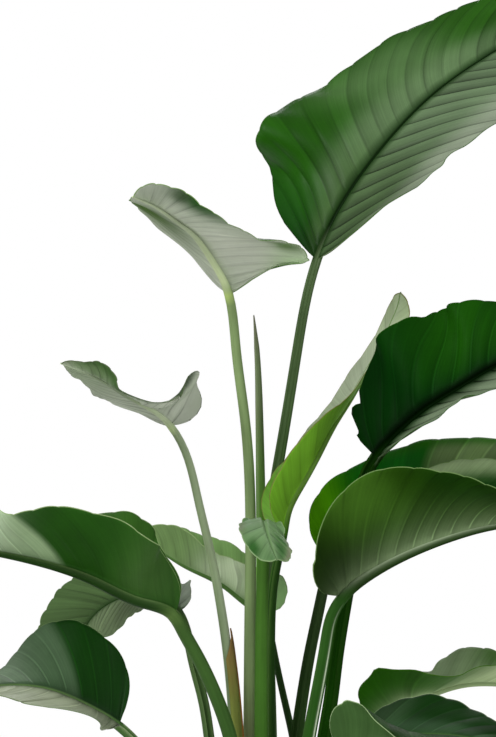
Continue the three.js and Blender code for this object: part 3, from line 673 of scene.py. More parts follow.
# What most leaves share
usual = dict(widest=0.3, base=2.4, wave=[3, 3, 0])
leaves = {}
leaves["leaf_tall_right"] = dict(
    stalk=[[0, 34, 215], [1, 40, 599], [-3, 46, 785], [2, 53, 908], [15, 60, 990], [38, 74, 1128],
        [66, 92, 1254]],
    rib=[[107, 115, 1339], [159, 145, 1411], [238, 185, 1494], [327, 225, 1558], [423, 255, 1611],
        [519, 270, 1639]],
    face=[[-0.3, -0.8, 0.5], [-0.3, -0.75, 0.6], [-0.2, -0.5, 0.8]], foot=11, collar=7, base=3.2,
    wave=[5, 4, 0],
    left=half(145, [96, 101, 105, 106, 102, 101, 101, 100, 100],
        [-15, -6, 23, 12, 5, 11, 21, 27, 33], [53, 21, -36, -43, -40, -15, 26, 55, 80],
        [-15, -25, -40]),
    right=half(145, [102, 99, 99, 100, 100, 100, 100, 100, 100], [42, 25, 19, 13, 5, 3, 4, 6, 9],
        [18, 38, 20, 33, 36, 42, 48, 54, 60], [25, -20, -30]),
    pleats=22, pleatDepth=3.6, veinRun=(1.35, 1), groove="062200", keel="788c64", crest="748e5e",
    rim="466432", stalkTop="4c623c", stalkFoot="446634", stalkCrest="526a40", crestShare=0.45,
    upper=dict(colour="24500e", byRib="103204", ribShare=0.8, ribReach=3, veins=(-0.1, -0.5),
        veinFade=0.35, relief=0.12, bands=0.09, slant=(0.22, 0.5),
        patches=[(1, "5c7450", 42, 12, 40, 24, 90), (1, "567248", 50, 50, 12, 45, 60),
        (1, "0c3e00", 0, 50, 15, 100, 95), (1, "425e32", 10, 0, 20, 20, 80),
        (1, "082c00", 0, 10, 5, 35, 80), (1, "1a4e04", 20, 80, 16, 50, 70),
        (1, "224e0e", 72, 80, 10, 50, 80), (-1, "607456", 50, 50, 50, 90, 90),
        (-1, "485e3c", 12, 40, 18, 60, 90), (-1, "8c9682", 30, 100, 35, 30, 80)]),
    under=dict(colour="788a68", veins=0.2),
)
leaves["leaf_tall_left"] = dict(
    stalk=[[-30, 14, 215], [-28, 18, 602], [-27, 18, 788], [-27, 16, 924], [-34, 12, 1032],
        [-46, 5, 1127], [-56, -10, 1202]],
    rib=[[-75, -50, 1241], [-98, -100, 1273], [-120, -160, 1289], [-146, -220, 1305],
        [-173, -270, 1315]],
    face=[[0.3, 0.6, 0.8], [0.2, 0.6, 0.8], [0.1, 0.5, 0.8]], foot=11, collar=6.5, wave=[4, 3, 0],
    left=half(125, [101, 103, 103, 100, 99, 99, 99, 100], [2, 7, 2, -15, -14, -15, 6, 41],
        [52, -11, -10, 27, 74, 96, 113, 140], [-10, -10, -20]),
    right=half(125, [103, 101, 98, 98, 99], [42, 31, 30, 29, 21], [-21, 13, -37, -49, -41],
        [10, 10, 0]),
    pleats=18, pleatDepth=2.4, veinRun=0.55, groove="466e28", keel="d4e2ac", crest="b2bea0",
    crestOnRib=1, crestShare=0.95, crestWide=0.26, keelTip="a6b292", keelFlat=0.5, rim="749058",
    stalkTop="829866", stalkFoot="688054", stalkCrest="708854", ring="c0d87c", ringWide=9,
    footTint=("a8806c", 0.32),
    upper=dict(colour="285412", veins=-0.25),
    under=dict(colour="b4bcaa", byRib="a4b490", ribReach=5, veins=-0.16, relief=0.12, bands=0.025,
        patches=[(1, "ced2c4", 30, 30, 20, 35, 80), (1, "c8e2b4", 14, 98, 12, 36, 95),
        (1, "1a5002", 72, 100, 14, 48, 100), (1, "244212", 77.5, 85, 4.5, 35, 85),
        (1, "547638", 30, 86, 5, 15, 90), (-1, "48662a", 52, 70, 28, 60, 100),
        (1, "c4c8be", 94, 50, 8, 50, 80), (1, "929b89", 90, 50, 10, 70, 80)]),
)
leaves["leaf_small_left"] = dict(
    stalk=[[-50, -6, 215], [-48, -4, 605], [-58, -4, 722], [-68, -4, 790], [-81, -5, 857],
        [-97, -8, 925], [-115, -14, 992], [-133, -24, 1024]],
    rib=[[-160, -55, 1048], [-185, -100, 1063], [-223, -160, 1088], [-267, -210, 1108]],
    face=[[0.2, 0.4, 0.9], [0.1, 0.35, 0.9], [0.05, 0, 1], [0, -0.4, 0.9]], foot=10, collar=5.5,
    left=half(70, [108, 117, 123, 112, 105, 101, 100, 100, 100, 101, 103, 102, 102],
        [7, 70, 56, 26, 0, 0, -12, -15, -21, 2, 35, 45, 88],
        [-17, -43, -41, 9, 6, -26, -18, -11, 42, 17, 18, 7, 73], [40, 90, 90, 50, 10, 0, 0]),
    right=half(75, [106, 98, 97, 98, 99, 100, 100], [18, 15, 12, 11, 2, -8, -13],
        [-14, -1, -53, -57, -38, -16, -6], [30, 20, 0]),
    pleats=14, pleatDepth=1.6, veinRun=1.3, groove="3c5428", keel="e4f0c8", crest="b8c6a6",
    crestOnRib=1, crestShare=0.95, crestWide=0.26, keelTip="809072", keelFlat=0.5, rim="546442",
    stalkTop="72845e", stalkFoot="345422", ring="c4d896", ringWide=9,
    upper=dict(colour="748664", veins=-0.25, patches=[(1, "3e602a", 80, 90, 24, 70, 95),
        (1, "0c2804", 10, 90, 30, 60, 95)]),
    under=dict(colour="c0c7b6", byRib="b4bea8", ribReach=5, veins=-0.35, relief=0.2, bands=0.04,
        patches=[(-1, "96a688", 85, 50, 35, 120, 90), (1, "607c4c", 85, 50, 30, 120, 95),
        (1, "325220", 74, 100, 20, 40, 90), (1, "18340e", 24.5, 90, 4.5, 40, 90),
        (0, "545646", 104, 50, 10, 200, 85)]),
)
leaves["leaf_unfolding"] = dict(
    stalk=[[10, 4, 215], [0, 6, 604], [0, 2, 735], [6, -2, 823], [18, -4, 882]],
    rib=[[24, -5, 911], [40, -2, 942], [64, 15, 983], [88, 50, 1025], [113, 90, 1061],
        [135, 120, 1097], [157, 140, 1134], [173, 151, 1168], [183, 158, 1193], [186, 162, 1209]],
    face=[[-0.7, -0.35, 0.35], [-0.75, -0.15, 0.6], [-0.75, -0.25, 0.6], [-0.6, -0.5, 0.5]],
    foot=10, collar=6.5, widest=0.25, wave=[1, 3, 0], tip=4,
    left=half(52, [100, 100, 100, 100, 100, 101, 103], [39, 28, 18, 10, 3, -8, 13],
        [8, 14, 22, 33, 51, 83, 140], [20, 30, 30]),
    right=half(50, [101, 101, 100, 99, 100, 101, 102, 102], [72, 63, 40, 16, 15, -1, -17, -25],
        [70, 37, 20, 8, 18, 39, 64, 88], [20, 25, 20]),
    pleats=13, pleatDepth=1.2, veinRun=0.9, slot="young_leaf", groove="608836", keel="608832",
    crest="6e9242", rim="7a7a3e", stalkTop="40701a", stalkFoot="0c3204", stalkFall=0.1,
    stalkCrest="4a6e30",
    upper=dict(colour="a8b498", veins=-0.12, relief=0.15,
        patches=[(0, "a4b888", 100, 50, 20, 160, 80), (0, "609820", 0, 50, 42, 160, 100)]),
    under=dict(colour="74b02c", byRib="76ac2e", veins=-0.2, relief=0.2,
        patches=[(0, "96a284", 100, 50, 45, 160, 95)]),
)
leaves["leaf_front"] = dict(
    stalk=[[-12, -22, 215], [-12, -30, 609], [-12, -32, 726], [-11, -36, 793], [-9, -44, 857],
        [-9, -54, 885]],
    rib=[[-10, -76, 899], [-9, -104, 898], [-4, -138, 882], [7, -165, 856]],
    face=[[0.15, -0.1, 1], [0.25, -0.6, 0.8], [0.3, -1, 0.25]], foot=13, collar=8.5, wave=[3, 2, 0],
    left=half(40, [75, 72, 87, 101, 116], [-25, -25, -23, -25, -25], [140, 82, 92, 114, 140],
        [-10, -20, -20]),
    right=half(38, [75, 75, 90, 103, 108], [-25, -25], [130, -12, 42, 90, 140], [-10, -20, -20]),
    pleats=9, pleatDepth=2.2, veinRun=0.6, groove="6c8c5c", keel="70885c", crest="749062",
    rim="7c9668", stalkTop="3e6622", stalkFoot="305c12", ring="6e963c", stalkCrest="688c48",
    crestShare=0.7,
    upper=dict(colour="608252", byRib="768e6a", ribReach=6, veins=-0.16, relief=0.3, bands=0.1,
        patches=[(-1, "7a9272", 30, 40, 30, 40, 70), (-1, "1e5014", 69, 85, 8, 32, 90),
        (0, "1c5410", 100, 30, 12, 70, 90), (1, "285c22", 78, 45, 10, 30, 85),
        (1, "285422", 60, 55, 3, 30, 80), (1, "868670", 68, 100, 25, 20, 80),
        (-1, "747662", 42, 100, 10, 25, 60)]),
    under=dict(colour="788e68", veins=-0.12),
)
leaves["leaf_back_left"] = dict(
    stalk=[[36, 78, 215], [33, 116, 588], [23, 119, 632], [6, 124, 711], [-9, 126, 754]],
    rib=[[-34, 127, 774], [-62, 130, 796], [-90, 135, 811], [-119, 142, 824], [-143, 150, 838],
        [-171, 161, 852], [-212, 174, 859]],
    face=[[0.2, 0.1, 1], [0.15, 0.1, 1], [0.1, 0, 1]], foot=9, collar=5, wave=[2, 3, 0],
    left=half(60, [121, 111, 85, 84, 103, 105, 103], [88, 79, 50, 50, 81, 88, 88],
        [-40, -22, -48, -50, 8, 10, 5], notches=[(0.03, 0.06, 0.01), (0.12, 0.04, 0.01)]),
    right=half(60, [100, 100], [60, 60], [10, 30, 40, 50, 60]),
    pleats=11, pleatDepth=1.8, veinRun=0.6, groove="54763a", keel="466830", crest="688450",
    rim="829a64", stalkTop="1e3a12", stalkFoot="18300e", stalkCrest="325024",
    upper=dict(colour="709256", veins=-0.22),
    under=dict(colour="64804c", veins=-0.25, relief=0.2,
        patches=[(0, "c0d0ae", 30, 50, 20, 100, 95), (0, "98c282", 0, 50, 12, 160, 95)]),
)
leaves["leaf_wide_left"] = dict(
    stalk=[[-34, -48, 215], [-40, -50, 430], [-53, -54, 612], [-75, -57, 675], [-96, -62, 720],
        [-115, -68, 755], [-130, -74, 779]],
    rib=[[-172, -85, 796], [-230, -100, 824], [-295, -115, 848], [-352, -130, 862],
        [-428, -145, 870], [-505, -150, 855]],
    face=[[0.2, 0.1, 1], [0.1, 0.1, 1], [0.1, 0, 1]], foot=13, collar=10, widest=0.38,
    left=half(110, [70, 108, 110, 107, 112, 108, 103, 99], [88, 40, 37, 31, 25, 51, 70, 88],
        [35, 8, 21, 35, 31, 3, -24, -51], [10, 10, 0]),
    right=half(110, [84, 105, 101, 101, 100], [69, 65, 39, 23, 8], [-2, -22, -48, -21, 17],
        [0, 10, 0]),
    pleats=16, pleatDepth=3, veinRun=0.65, groove="1a3c0a", keel="1a380c", crest="8cac6c",
    crestOnRib=0.9, rim="869e68", stalkTop="385624", stalkFoot="18420a", ring="547036",
    stalkCrest="42622c",
    upper=dict(colour="2e541a", byRib="1a3e0a", veins=0.2,
        patches=[(0, "778769", 75, 50, 25, 80, 75)]),
    under=dict(colour="1e4a0c", byRib="1a4008", ribReach=8, veins=0.7, veinAt=(0.62, 0.16),
        relief=0.2, bands=0.09, pastRow=[(0, 0.388, "94ac84", 0.85)],
        patches=[(0, "beceb2", 80, 50, 20, 160, 95), (0, "3e622a", 12, 50, 12, 90, 85)]),
)
leaves["leaf_drooping_left"] = dict(
    stalk=[[-54, 26, 215], [-83, 24, 601], [-91, 24, 651], [-105, 26, 705], [-125, 32, 770]],
    rib=[[-144, 50, 785], [-179, 75, 789], [-222, 95, 774], [-250, 110, 749], [-271, 115, 702]],
    face=[[-0.1, -0.3, 1], [-0.2, -0.6, 0.8], [-0.5, -0.7, 0.3]], foot=10, collar=7, widest=0.38,
    left=half(80, [100, 100], [31, 18, 8, 11, 12], [-58, -47, -29, -6, 21]),
    right=half(80, [97, 100, 100, 100, 102, 106, 104], [-24, -5, 2, 6, 10, 35, 53],
        [34, 86, 95, 117, 135, 140, 115], notches=[(0.077, -0.22, 0.007), (0.097, 0.26, 0.012),
        (0.13, 0.5, 0.028)]),
    pleats=19, pleatDepth=2.4, veinRun=0.7, groove="2c4a1e", keel="6e805c", crest="607a4a",
    rim="54703e", stalkTop="466232", stalkFoot="325024",
    upper=dict(colour="445c34", byRib="2c4820", ribReach=5, veins=(-0.35, -0.15), relief=0.35,
        bands=0.06, patches=[(1, "768864", 50, 50, 90, 100, 90), (-1, "9ca498", 5, 60, 8, 90, 95)]),
    under=dict(colour="788270", veins=-0.12),
)
leaves["leaf_low_left"] = dict(
    stalk=[[-60, -36, 215], [-87, -80, 428], [-145, -110, 571], [-199, -130, 639]],
    rib=[[-234, -145, 663], [-285, -160, 687], [-348, -175, 694], [-423, -190, 679],
        [-485, -200, 655]],
    face=[[0, -0.5, 0.85], [0, -0.5, 0.85], [0, -0.4, 0.85]], foot=12, collar=7,
    left=half(110, [109, 101, 98, 98, 99, 100, 100, 100, 100, 100],
        [9, 26, 22, 25, 26, 22, 15, 6, -3, -12], [61, 34, 73, 53, 69, 77, 80, 80, 78, 75]),
    right=half(110, [103, 105, 100, 99, 99], [39, 13, -23, -25, -25], [15, 23, -5, -9, -6]),
    pleats=16, pleatDepth=2.8, veinRun=(0.65, 0.3), groove="4c6838", keel="8c9a78", crest="809468",
    rim="5a7246", stalkTop="3c602a", stalkFoot="325224",
    upper=dict(colour="0e3208", byRib="082604", veins=0.9, relief=0.3,
        pastRow=[(-1, 0.188, "465c42", 0.78)], bands=0.09,
        patches=[(-1, "647660", 55, 50, 14, 140, 90), (1, "969e84", 50, 50, 60, 140, 95)]),
    under=dict(colour="9ca48e", veins=-0.12),
)
leaves["leaf_dark_right"] = dict(
    stalk=[[66, 4, 215], [74, 8, 605], [82, 8, 653], [89, 8, 708], [102, 5, 789], [118, -2, 898],
        [129, -8, 959], [143, -13, 984]],
    rib=[[175, -24, 1020], [208, -32, 1048], [250, -40, 1075], [300, -48, 1105], [384, -58, 1133],
        [475, -68, 1126]],
    face=[[-0.3, -0.9, 0.2], [-0.25, -0.9, 0.35], [-0.15, -0.8, 0.6]], foot=13, collar=9,
    wave=[3, 4, 0],
    left=half(120, [99, 100, 99, 101, 102, 101, 100, 100, 100],
        [-21, -12, 5, -13, -5, -11, -18, -22, -25], [-7, 28, 7, 22, 0, -7, -17, -20, -19],
        notches=[(0.056, 0.18, 0.006), (0.036, -0.06, 0.009), (0.0195, 0.36, 0.005),
        (0.335, 0.05, 0.015)]),
    right=half(110, [100, 100], [60, 61, 54, 47, 40], [90, 57, 48, 42, 37]),
    pleats=15, pleatDepth=2.6, veinRun=0.6, dark=True, groove="021400", keel="3c542e",
    crest="142e0a", rim="2c5418", stalkTop="0a2602", stalkFoot="1a4608", stalkCrest="1e400e",
    keelHighlight=(0.3, 0.12, "465e38"),
    upper=dict(colour="042a00", byRib="001000", ribShare=0.9, ribReach=9, veins=(0.7, -0.9),
        veinFade=0.6, relief=0.3, bands=0.08, patches=[(-1, "708066", 50, 80, 80, 55, 90),
        (1, "184a00", 50, 75, 24, 80, 85)]),
    under=dict(colour="607454", veins=-0.15),
)
leaves["leaf_back_right"] = dict(
    stalk=[[40, 27, 215], [37, 62, 597], [44, 66, 646], [53, 70, 700], [69, 76, 776],
        [86, 88, 837]],
    rib=[[112, 100, 878], [168, 110, 923], [238, 120, 948], [318, 130, 956], [409, 140, 948],
        [494, 150, 924]],
    face=[[-0.4, -0.4, 0.8], [-0.2, -0.5, 0.85], [0, -0.4, 0.9]], foot=12, collar=8, widest=0.38,
    left=half(90, [105, 101, 99, 100, 100], [31, 8, 2, 19, 34], [41, 18, 28, 44, 62]),
    right=half(90, [100, 100], [0, 0], [10, 30, 40, 50, 60]),
    pleats=14, pleatDepth=2.4, veinRun=0.65, dark=True, groove="7c9664", keel="284e0e",
    crest="7c9664", rim="467022", stalkTop="2c3c22", stalkFoot="204a0e", stalkCrest="344a28",
    keelHighlight=(0.3, 0.12, "3e5432"),
    upper=dict(colour="0a5400", byRib="0a3c00", veins=1.5, veinAt=(0.6, 0.25), relief=0.2,
        pastRow=[(1, 0.366, "5e7446", 0.9)], bands=0.09,
        patches=[(1, "025c00", 27, 80, 10, 120, 95), (1, "225808", 55, 100, 30, 22, 90),
        (1, "4c8e06", 6, 80, 10, 100, 95)]),
    under=dict(colour="1e4a06", veins=0.2, patches=[(0, "346a06", 2, 60, 16, 90, 80)]),
)
leaves["leaf_wide_right"] = dict(
    stalk=[[28, -20, 215], [51, -36, 610], [65, -46, 687], [74, -54, 741], [80, -58, 771],
        [94, -65, 798]],
    rib=[[131, -80, 831], [176, -95, 857], [234, -110, 881], [292, -125, 897], [374, -140, 899],
        [450, -150, 881]],
    face=[[-0.2, 0.1, 1], [-0.1, 0.1, 1], [0, 0, 1]], foot=13, collar=9,
    left=half(110, [100, 100], [60, 60, 50], [10, 30, 40, 50, 60]),
    right=half(110, [105, 112, 106, 102, 99], [9, 56, 51, 19, -7], [-6, -3, -10, -26, -18],
        [10, 10], notches=[(0.085, 0.05, 0.01)]),
    pleats=17, pleatDepth=3.4, veinRun=1, dark=True, groove="1e3e0e", keel="1c340c", crest="bed0ac",
    crestOnRib=0.9, crestShare=1, crestWide=0.08, rim="68844e", stalkTop="2a501c",
    stalkFoot="204c10", stalkCrest="3c5e2c", keelHighlight=(0.6, 0.022, "e0f0d0"),
    upper=dict(colour="264c0e", byRib="60724e", ribReach=14, veins=0.35,
        patches=[(1, "0a2e0e", 45, 40, 40, 45, 90), (1, "8ca076", 45, 100, 25, 20, 85)]),
    under=dict(colour="203e06", byRib="768a64", ribReach=20, ribShare=0.85, veins=1.3, veinFade=1.3,
        veinAt=(0.5, 0.4), relief=0.2, bands=0.05, slant=-0.12,
        patches=[(0, "40681e", 24, 95, 10, 50, 70), (0, "0e3000", 60, 75, 20, 35, 90),
        (0, "122604", 5, 50, 12, 90, 90)]),
)
leaves["leaf_low_right"] = dict(
    stalk=[[70, 34, 215], [103, 45, 443], [130, 50, 545], [154, 58, 613]],
    rib=[[179, 66, 638], [214, 76, 649], [240, 84, 657], [268, 92, 663], [315, 104, 663],
        [392, 118, 647], [449, 125, 621]],
    face=[[-0.3, -0.1, 1], [-0.2, -0.1, 1], [0, -0.1, 1]], foot=10, collar=6,
    left=half(80, [100, 100, 101, 100, 100], [8, 11, 30, 34, 40], [78, 59, 32, 7, -6]),
    right=half(75, [119, 117, 99, 97, 98, 99, 100, 100, 100], [88, 58, 24, 24, 36, 41, 44, 45, 46],
        [-6, -32, 17, 47, 55, 71, 86, 101, 114], notches=[(0.125, -0.14, 0.016),
        (0.185, -0.06, 0.018)]),
    pleats=13, pleatDepth=2.4, veinRun=0.65, dark=True, groove="8ca076", keel="889c70",
    crest="96a880", rim="3c641a", stalkTop="3c562a", stalkFoot="344a26",
    upper=dict(colour="788e66", veins=0.3, patches=[(1, "326010", 60, 90, 14, 50, 80)]),
    under=dict(colour="1a4a00", byRib="96ac7e", ribReach=12, ribShare=0.9, veins=0.4, relief=0.2,
        patches=[(-1, "c4d6a6", 72, 50, 34, 140, 95)]),
)
leaves["leaf_low_front"] = dict(
    stalk=[[38, -48, 215], [51, -90, 430], [67, -110, 538], [96, -130, 604]],
    rib=[[140, -150, 623], [203, -180, 632], [264, -210, 629], [324, -240, 605]],
    face=[[-0.2, -0.3, 0.9], [0, -0.3, 0.9], [0, -0.3, 0.9]], foot=12, collar=8, widest=0.38,
    left=half(80, [101, 101, 100, 100, 100], [-10, 10, 9, -1, -6], [13, -14, 0, 0, 18]),
    right=half(70, [115, 108, 103, 100, 99], [88, 68, 23, -6, -25], [9, -30, -35, -10, 24]),
    pleats=10, pleatDepth=1.2, veinRun=0.9, dark=True, groove="406030", keel="546e44",
    crest="789264", rim="8ca276", stalkTop="466232", stalkFoot="3a522a",
    upper=dict(colour="12300e", byRib="32502c", ribReach=6, veins=0.9, relief=0.15, slant=0.1,
        bands=0.14, patches=[(1, "385234", 20, 60, 12, 60, 70), (-1, "224016", 25, 50, 40, 140, 90),
        (1, "385238", 45, 10, 30, 25, 70)]),
    under=dict(colour="3e5c30", byRib="48643c", veins=0.15),
)

for number, (node, leaf) in enumerate(leaves.items()):
    growFrond(node, usual | leaf, leafSeed + number)
print("leaves grown:", len(leaves))


# Rolled new leaf

spear = {
    "line": [[-14, 62, 215], [-12, 74, 594], [-12, 78, 838], [-13, 78, 948], [-15, 78, 1058],
             [-18, 78, 1130], [-22, 78, 1175]],
    "radii": [9, 8.5, 7.5, 7, 5.7, 4.1, 1.0],
    "rows": 220, "round": 40, "overlap": 1.1, "twist": 0.9,
    "low": "5c9822", "high": "60704c", "tip": "646450", "fold": "96a07e",
    # Where the fold opens, the upper colour and the tip's begin, and over how long
    "foldRise": (0.25, 0.2), "highRise": (0.66, 0.2), "tipRise": (0.93, 0.07),
    "fullRadius": 8, "foldShare": 0.7, "foldWide": 0.03, "endOut": 1.2,
}


def makeSpear():
    # A rolled blade: round the line, the radius grows with the turn from the inner wrap to
    # the outer one, and steps back at the fold, which winds slowly up the roll
    s = spear
    share = np.linspace(0, 1, s["rows"])
    point, forward, length = alongLine(smoothLine(s["line"]), share)
    knots = np.linalg.norm(np.diff(np.array(s["line"], float), axis=0), axis=1)
    knots = np.concatenate([[0], np.cumsum(knots)])
    radius = np.interp(share, knots / knots[-1], s["radii"])[:, None]
    face = carryFace(unit(np.cross(np.cross(forward[-1], [0, -1, 0]), forward[-1])), forward)
    left = np.cross(face, forward)
    turn, up = np.linspace(0, 1, s["round"] + 1)[None, :], share[:, None]
    step = s["overlap"] * ramp(radius, 0, s["fullRadius"])
    wide = radius - step * (1 - turn) * ramp(up, *s["foldRise"])
    angle = 2 * np.pi * turn + s["twist"] * up
    ring = (point[:, None] + left[:, None] * (wide * np.sin(angle))[..., None]
            + face[:, None] * (wide * np.cos(angle))[..., None])
    low, high, tip, fold = (linear(s[key]) for key in ("low", "high", "tip", "fold"))
    colour = blend(low, high, ramp(up[..., None], *s["highRise"]))
    colour = blend(colour, tip, ramp(up[..., None], *s["tipRise"]))
    line = np.exp(-(1 - turn) / s["foldWide"])[..., None]
    colour = blend(colour, fold, s["foldShare"] * line)
    grain = np.stack([turn * 0.05 + 0 * up, up * length * mm + 0 * turn], -1)
    parts = [patch(ring, colour, fold, grain),
             patch(np.stack([ring[:, -1], ring[:, 0]], 1), fold, fold)]
    for end in (0, -1):
        middle = ring[end].mean(0) - end * forward[-1] * s["endOut"]
        parts.append(capOver(np.vstack([ring[end], ring[end][:1]]), middle, tip, tip))
    dress(makeMesh("rolledLeaf", parts), "leaf_rolled_new", {"slot": "rolled_leaf"})


makeSpear()
print("rolled leaf made")


# Dry sheath beside the small left leaf's stalk

sheath = {
    "holder": "leaf_small_left", "low": 236, "high": 752, "rows": 90, "steps": 14,
    "clasp": (-1.9, 0.35), "claspShare": 0.45, "gap": 0.8, "wide": 6.5, "thick": 0.9,
    "olive": "7a843e", "brown": "b07034", "dry": "805c38",
    "brownRise": (0.5, 0.35), "dryRise": (0.8, 0.2), "topFade": 0.08,
    "ripple": 1.2, "ripples": (9, 2), "back": 0.1,
}


def makeSheath():
    # A strip that clasps the stalk: round it through an arc at the stalk's radius, then out
    # sideways by a width that falls as the square root of the share left to the top
    s = sheath
    leaf = leaves[s["holder"]]
    line = leafLines(leaf)[0]
    share = np.linspace(0, 1, s["rows"])[:, None]
    z = blend(s["low"], s["high"], share)
    centreX, centreY = (np.interp(z, line[:, 2], line[:, k]) for k in (0, 1))
    along = np.interp(z, line[:, 2], np.linspace(0, 1, len(line)))
    radius = stalkRadius(leaf, along) + s["gap"]
    t = np.linspace(0, 1, s["steps"])[None, :]
    turn = blend(*s["clasp"], ramp(t, 0, s["claspShare"]))
    past = ramp(t, s["claspShare"], 1 - s["claspShare"])
    out = past * s["wide"] * np.sqrt(np.clip(1 - share, 0, 1))
    up, across = s["ripples"]
    ripple = s["ripple"] * np.sin(up * share + across * t) * past
    fade = np.clip((1 - share) / s["topFade"], 0.25, 1)
    x = centreX + radius * np.cos(turn * fade) + out
    y = centreY + radius * np.sin(turn * fade) - s["back"] * out + ripple
    middle = np.stack([x, y, z + 0 * t], -1)
    normal = unit(np.cross(np.gradient(middle, axis=0), np.gradient(middle, axis=1)))
    olive, brown, dry = (linear(s[key]) for key in ("olive", "brown", "dry"))
    colour = blend(olive, brown, ramp(t, *s["brownRise"])[..., None])
    colour = blend(colour, dry, ramp(share, *s["dryRise"])[..., None])
    grain = np.stack([t * 0.03 + 0 * z, z * mm + 0 * t], -1)
    front, back = (middle + normal * (k * s["thick"] * 0.5) for k in (1, -1))
    parts = [patch(face, colour, brown, grain) for face in (front, back)]
    for line in ((slice(None), 0), (slice(None), -1), 0, -1):
        parts.append(patch(np.stack([front[line], back[line]], 1), dry, dry))
    piece = makeMesh("drySheath", parts)
    piece.data.materials.append(leafSkin)
    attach(piece, "root")


makeSheath()
print("dry sheath made")


# Pot

pot = {
    "height": 270, "footRadius": 108, "topRadius": 140, "wall": 4, "floor": 6,
    "rimHeight": 28, "rimOverhang": 5, "round": 160,
    "holes": 5, "holeRadius": 6, "holeCircle": 62, "colour": (0.76, 0.74, 0.7),
}


def wallRadius(z):
    return blend(pot["footRadius"], pot["topRadius"], z / pot["height"])


def arc(centreR, centreZ, radius, first, last, steps=6):
    # Points of a round edge in the profile: radius times cosine outward and sine upward
    turn = np.radians(np.linspace(first, last, steps))
    return np.stack([centreR + radius * np.cos(turn), centreZ + radius * np.sin(turn)], 1)


def straight(r0, z0, r1, z1, steps):
    return np.linspace((r0, z0), (r1, z1), steps)


def makePotPaint():
    g = Graph(bpy.data.materials.new("potClay"))
    spot = g.add("TexCoord").outputs["Object"]
    cloud, speck = g.noise(spot, 7, 4.0), g.noise(spot, 620, 2.0)
    tone = g.maths("MULTIPLY", g.scale(cloud, 0.3, 0.7, 0.95, 1.04),
                   g.scale(speck, 0.6, 0.8, 1.0, 0.93, True))
    turns = g.noise(g.stretch(spot, (3, 3, 260)), 1.0, 3.0)
    height = g.maths("ADD", g.maths("MULTIPLY", turns, 0.25), g.maths("MULTIPLY", speck, 0.08))
    return g.finish(g.tint(pot["colour"], tone), g.scale(cloud, 0.3, 0.7, 0.46, 0.6), height, mm)


def makePot():
    # Foot, wall, rolled rim and inside as one profile; holes are cut through the floor
    top, rimFoot, base = pot["height"], pot["height"] - pot["rimHeight"], pot["floor"]
    rimRadius, rimTop = (wallRadius(z) + pot["rimOverhang"] for z in (rimFoot, top))
    inside, low = (wallRadius(z) - pot["wall"] for z in (top, base))
    profile = np.vstack([
        straight(0, 2.5, 94, 2.5, 12),
        arc(97, 2.5, 2.5, 180, 270, 4), arc(wallRadius(0) - 3, 3, 3, -90, -6),
        straight(wallRadius(6), 6, wallRadius(rimFoot - 3), rimFoot - 3, 30),
        arc(wallRadius(rimFoot) + 2.5, rimFoot - 1.5, 2.5, 170, 90, 4),
        arc(rimRadius - 2, rimFoot + 3, 2, -80, 0, 5),
        straight(rimRadius, rimFoot + 5, rimTop, top - 4, 5),
        arc(rimTop - 3.5, top - 3.5, 3.5, 0, 90), arc(inside + 2, top - 2, 2, 90, 180),
        straight(inside, top - 6, low + 4, base + 10, 24),
        arc(low - 6, base + 6, 6, 0, -90, 5), straight(low - 8, base, 0, base, 12),
    ])
    skin = patch(rings(profile[:, :1], profile[:, 1:], pot["round"]), 1, 1, edge=0)
    piece = makeMesh("plantPot", [skin])
    cutters = bmesh.new()
    hole, far = pot["holeRadius"] * mm, pot["holeCircle"] * mm
    for turn in 2 * np.pi * (np.arange(pot["holes"]) + 0.5) / pot["holes"]:
        middle = Matrix.Translation((far * np.cos(turn), far * np.sin(turn), 0.004))
        bmesh.ops.create_cone(cutters, cap_ends=True, segments=32, depth=0.02,
                              radius1=hole, radius2=hole, matrix=middle)
    shape = bpy.data.meshes.new("drainCutters")
    cutters.to_mesh(shape)
    cutters.free()
    tool = place("drainCutters", shape)
    cut = piece.modifiers.new("drainHoles", "BOOLEAN")
    cut.object, cut.operation = tool, "DIFFERENCE"
    view = bpy.context.evaluated_depsgraph_get()
    done = bpy.data.meshes.new_from_object(piece.evaluated_get(view))
    piece.modifiers.clear()
    piece.data = done
    bpy.data.objects.remove(tool)
    piece.data.materials.append(makePotPaint())
    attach(piece, "root")
    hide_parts("pot")


makePot()
print("pot made")


# Potting mix

mix = {
    "bottom": 6.5, "level": 244, "mound": 9, "lump": 3.2, "gap": 0.3, "footIn": 3,
    "lumpSizes": (60, 34, 21, 13, 8, 5.5), "topRings": 90, "sideRings": 13, "round": 200,
    "chips": 420, "chipSize": (4, 13), "chipsWithin": 122, "seed": 7,
    "dark": (0.018, 0.012, 0.008, 1), "brown": (0.07, 0.042, 0.026, 1),
    "bark": (0.16, 0.09, 0.05, 1),
}


def mixRadius(z):
    return wallRadius(z) - pot["wall"] - mix["gap"]


def moundHeight(x, y):
    # The mix rises to its middle by a squared fall, with lumps made of crossed sine waves
    far = np.clip(np.hypot(x, y) / mixRadius(mix["level"]), 0, 1)
    lumps = 0
    chance = np.random.default_rng(mix["seed"])
    for size in mix["lumpSizes"]:
        for _ in range(3):
            turn, shift = chance.uniform(0, np.pi), chance.uniform(0, 6.28)
            wave = np.sin((x * np.cos(turn) + y * np.sin(turn)) * 6.283 / size + shift)
            lumps = lumps + wave * size / 60
    return mix["level"] + mix["mound"] * (1 - far ** 2) + lumps * mix["lump"] * 0.5 * (
        1 - far ** 8)


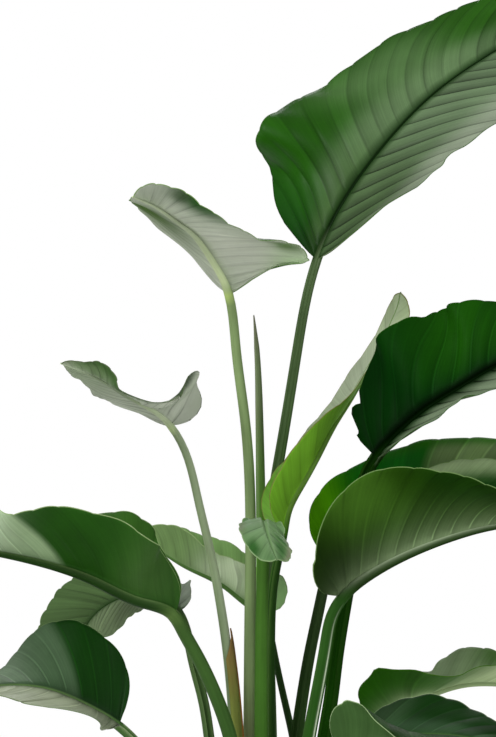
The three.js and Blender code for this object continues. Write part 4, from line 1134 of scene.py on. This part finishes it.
def makeMix():
    # A lumpy top, a side that narrows evenly to the foot, and a flat underside, with chips
    reach, low = mixRadius(mix["level"]), mixRadius(mix["bottom"]) - mix["footIn"]
    inner = np.linspace(0, 1, mix["topRings"])[:, None] ** 0.8 * reach
    down = np.linspace(0, 1, mix["sideRings"] + 1)[1:, None]
    radius = np.vstack([inner, blend(reach, low, down), [[low / 2], [0]]])
    points = rings(radius, mix["bottom"], mix["round"])
    top = moundHeight(points[:len(inner), :, 0], points[:len(inner), :, 1])
    points[:-2, :, 2] = np.vstack([top, blend(top[-1], mix["bottom"], down)])
    body = patch(points, 0.2, 1, edge=0)
    piece = makeMesh("pottingMix", [body] + barkChips())
    piece.data.materials.append(makeMixEarth())
    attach(piece, "root")
    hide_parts("soil")


def barkChips():
    # Flat six-sided chips of bark, each its own closed lens laid and tilted by chance
    chance = np.random.default_rng(mix["seed"] + 1)
    count = mix["chips"]
    far = np.sqrt(chance.uniform(0, 1, count)) * mix["chipsWithin"]
    turn = chance.uniform(0, 2 * np.pi, count)
    x, y = far * np.cos(turn), far * np.sin(turn)
    size = chance.uniform(*mix["chipSize"], count) * 0.5
    tilt = chance.normal(0, 0.35, (count, 2))
    rag = chance.uniform(0.6, 1.15, (count, 7))
    rag[:, -1] = rag[:, 0]
    spin, shades = chance.uniform(0, 6.28, count), chance.uniform(0.25, 1, count)
    around = np.append(np.arange(6), 0) * np.pi / 3
    scale, rise = np.array([(0, 1), (0.8, 0.9), (1, 0), (0.8, -0.9), (0, -1)]).T[..., None]
    x, y, z, size, spin, tiltX, tiltY = (values[:, None, None] for values in (
        x, y, moundHeight(x, y), size, spin, *tilt.T))
    p = size * rag[:, None] * np.cos(around) * scale
    q = size * 0.6 * rag[:, None] * np.sin(around) * scale
    dx, dy = p * np.cos(spin) - q * np.sin(spin), p * np.sin(spin) + q * np.cos(spin)
    dz = rise * 0.9 + dx * tiltX + dy * tiltY + 0.6
    return [patch(chip, shade, 1, edge=0, upper=1)
            for chip, shade in zip(np.stack([x + dx, y + dy, z + dz], -1), shades)]


def makeMixEarth():
    g = Graph(bpy.data.materials.new("mixEarth"))
    spot = g.add("TexCoord").outputs["Object"]
    crumb, clod = g.noise(spot, 260, 4.0, 0.7), g.noise(spot, 60, 4.0)
    both = g.maths("ADD", crumb, clod)
    earth = g.mix(g.scale(both, 0.8, 1.25, 0.0, 1.0), mix["dark"], mix["brown"])
    chip = g.scale(g.read("paint", "Fac"), 0.22, 1.0, 0.0, 1.0)
    return g.finish(g.mix(chip, earth, mix["bark"]), g.scale(crumb, 0.3, 0.7, 0.85, 0.98),
                    both, 2 * mm)


makeMix()
print("potting mix made")
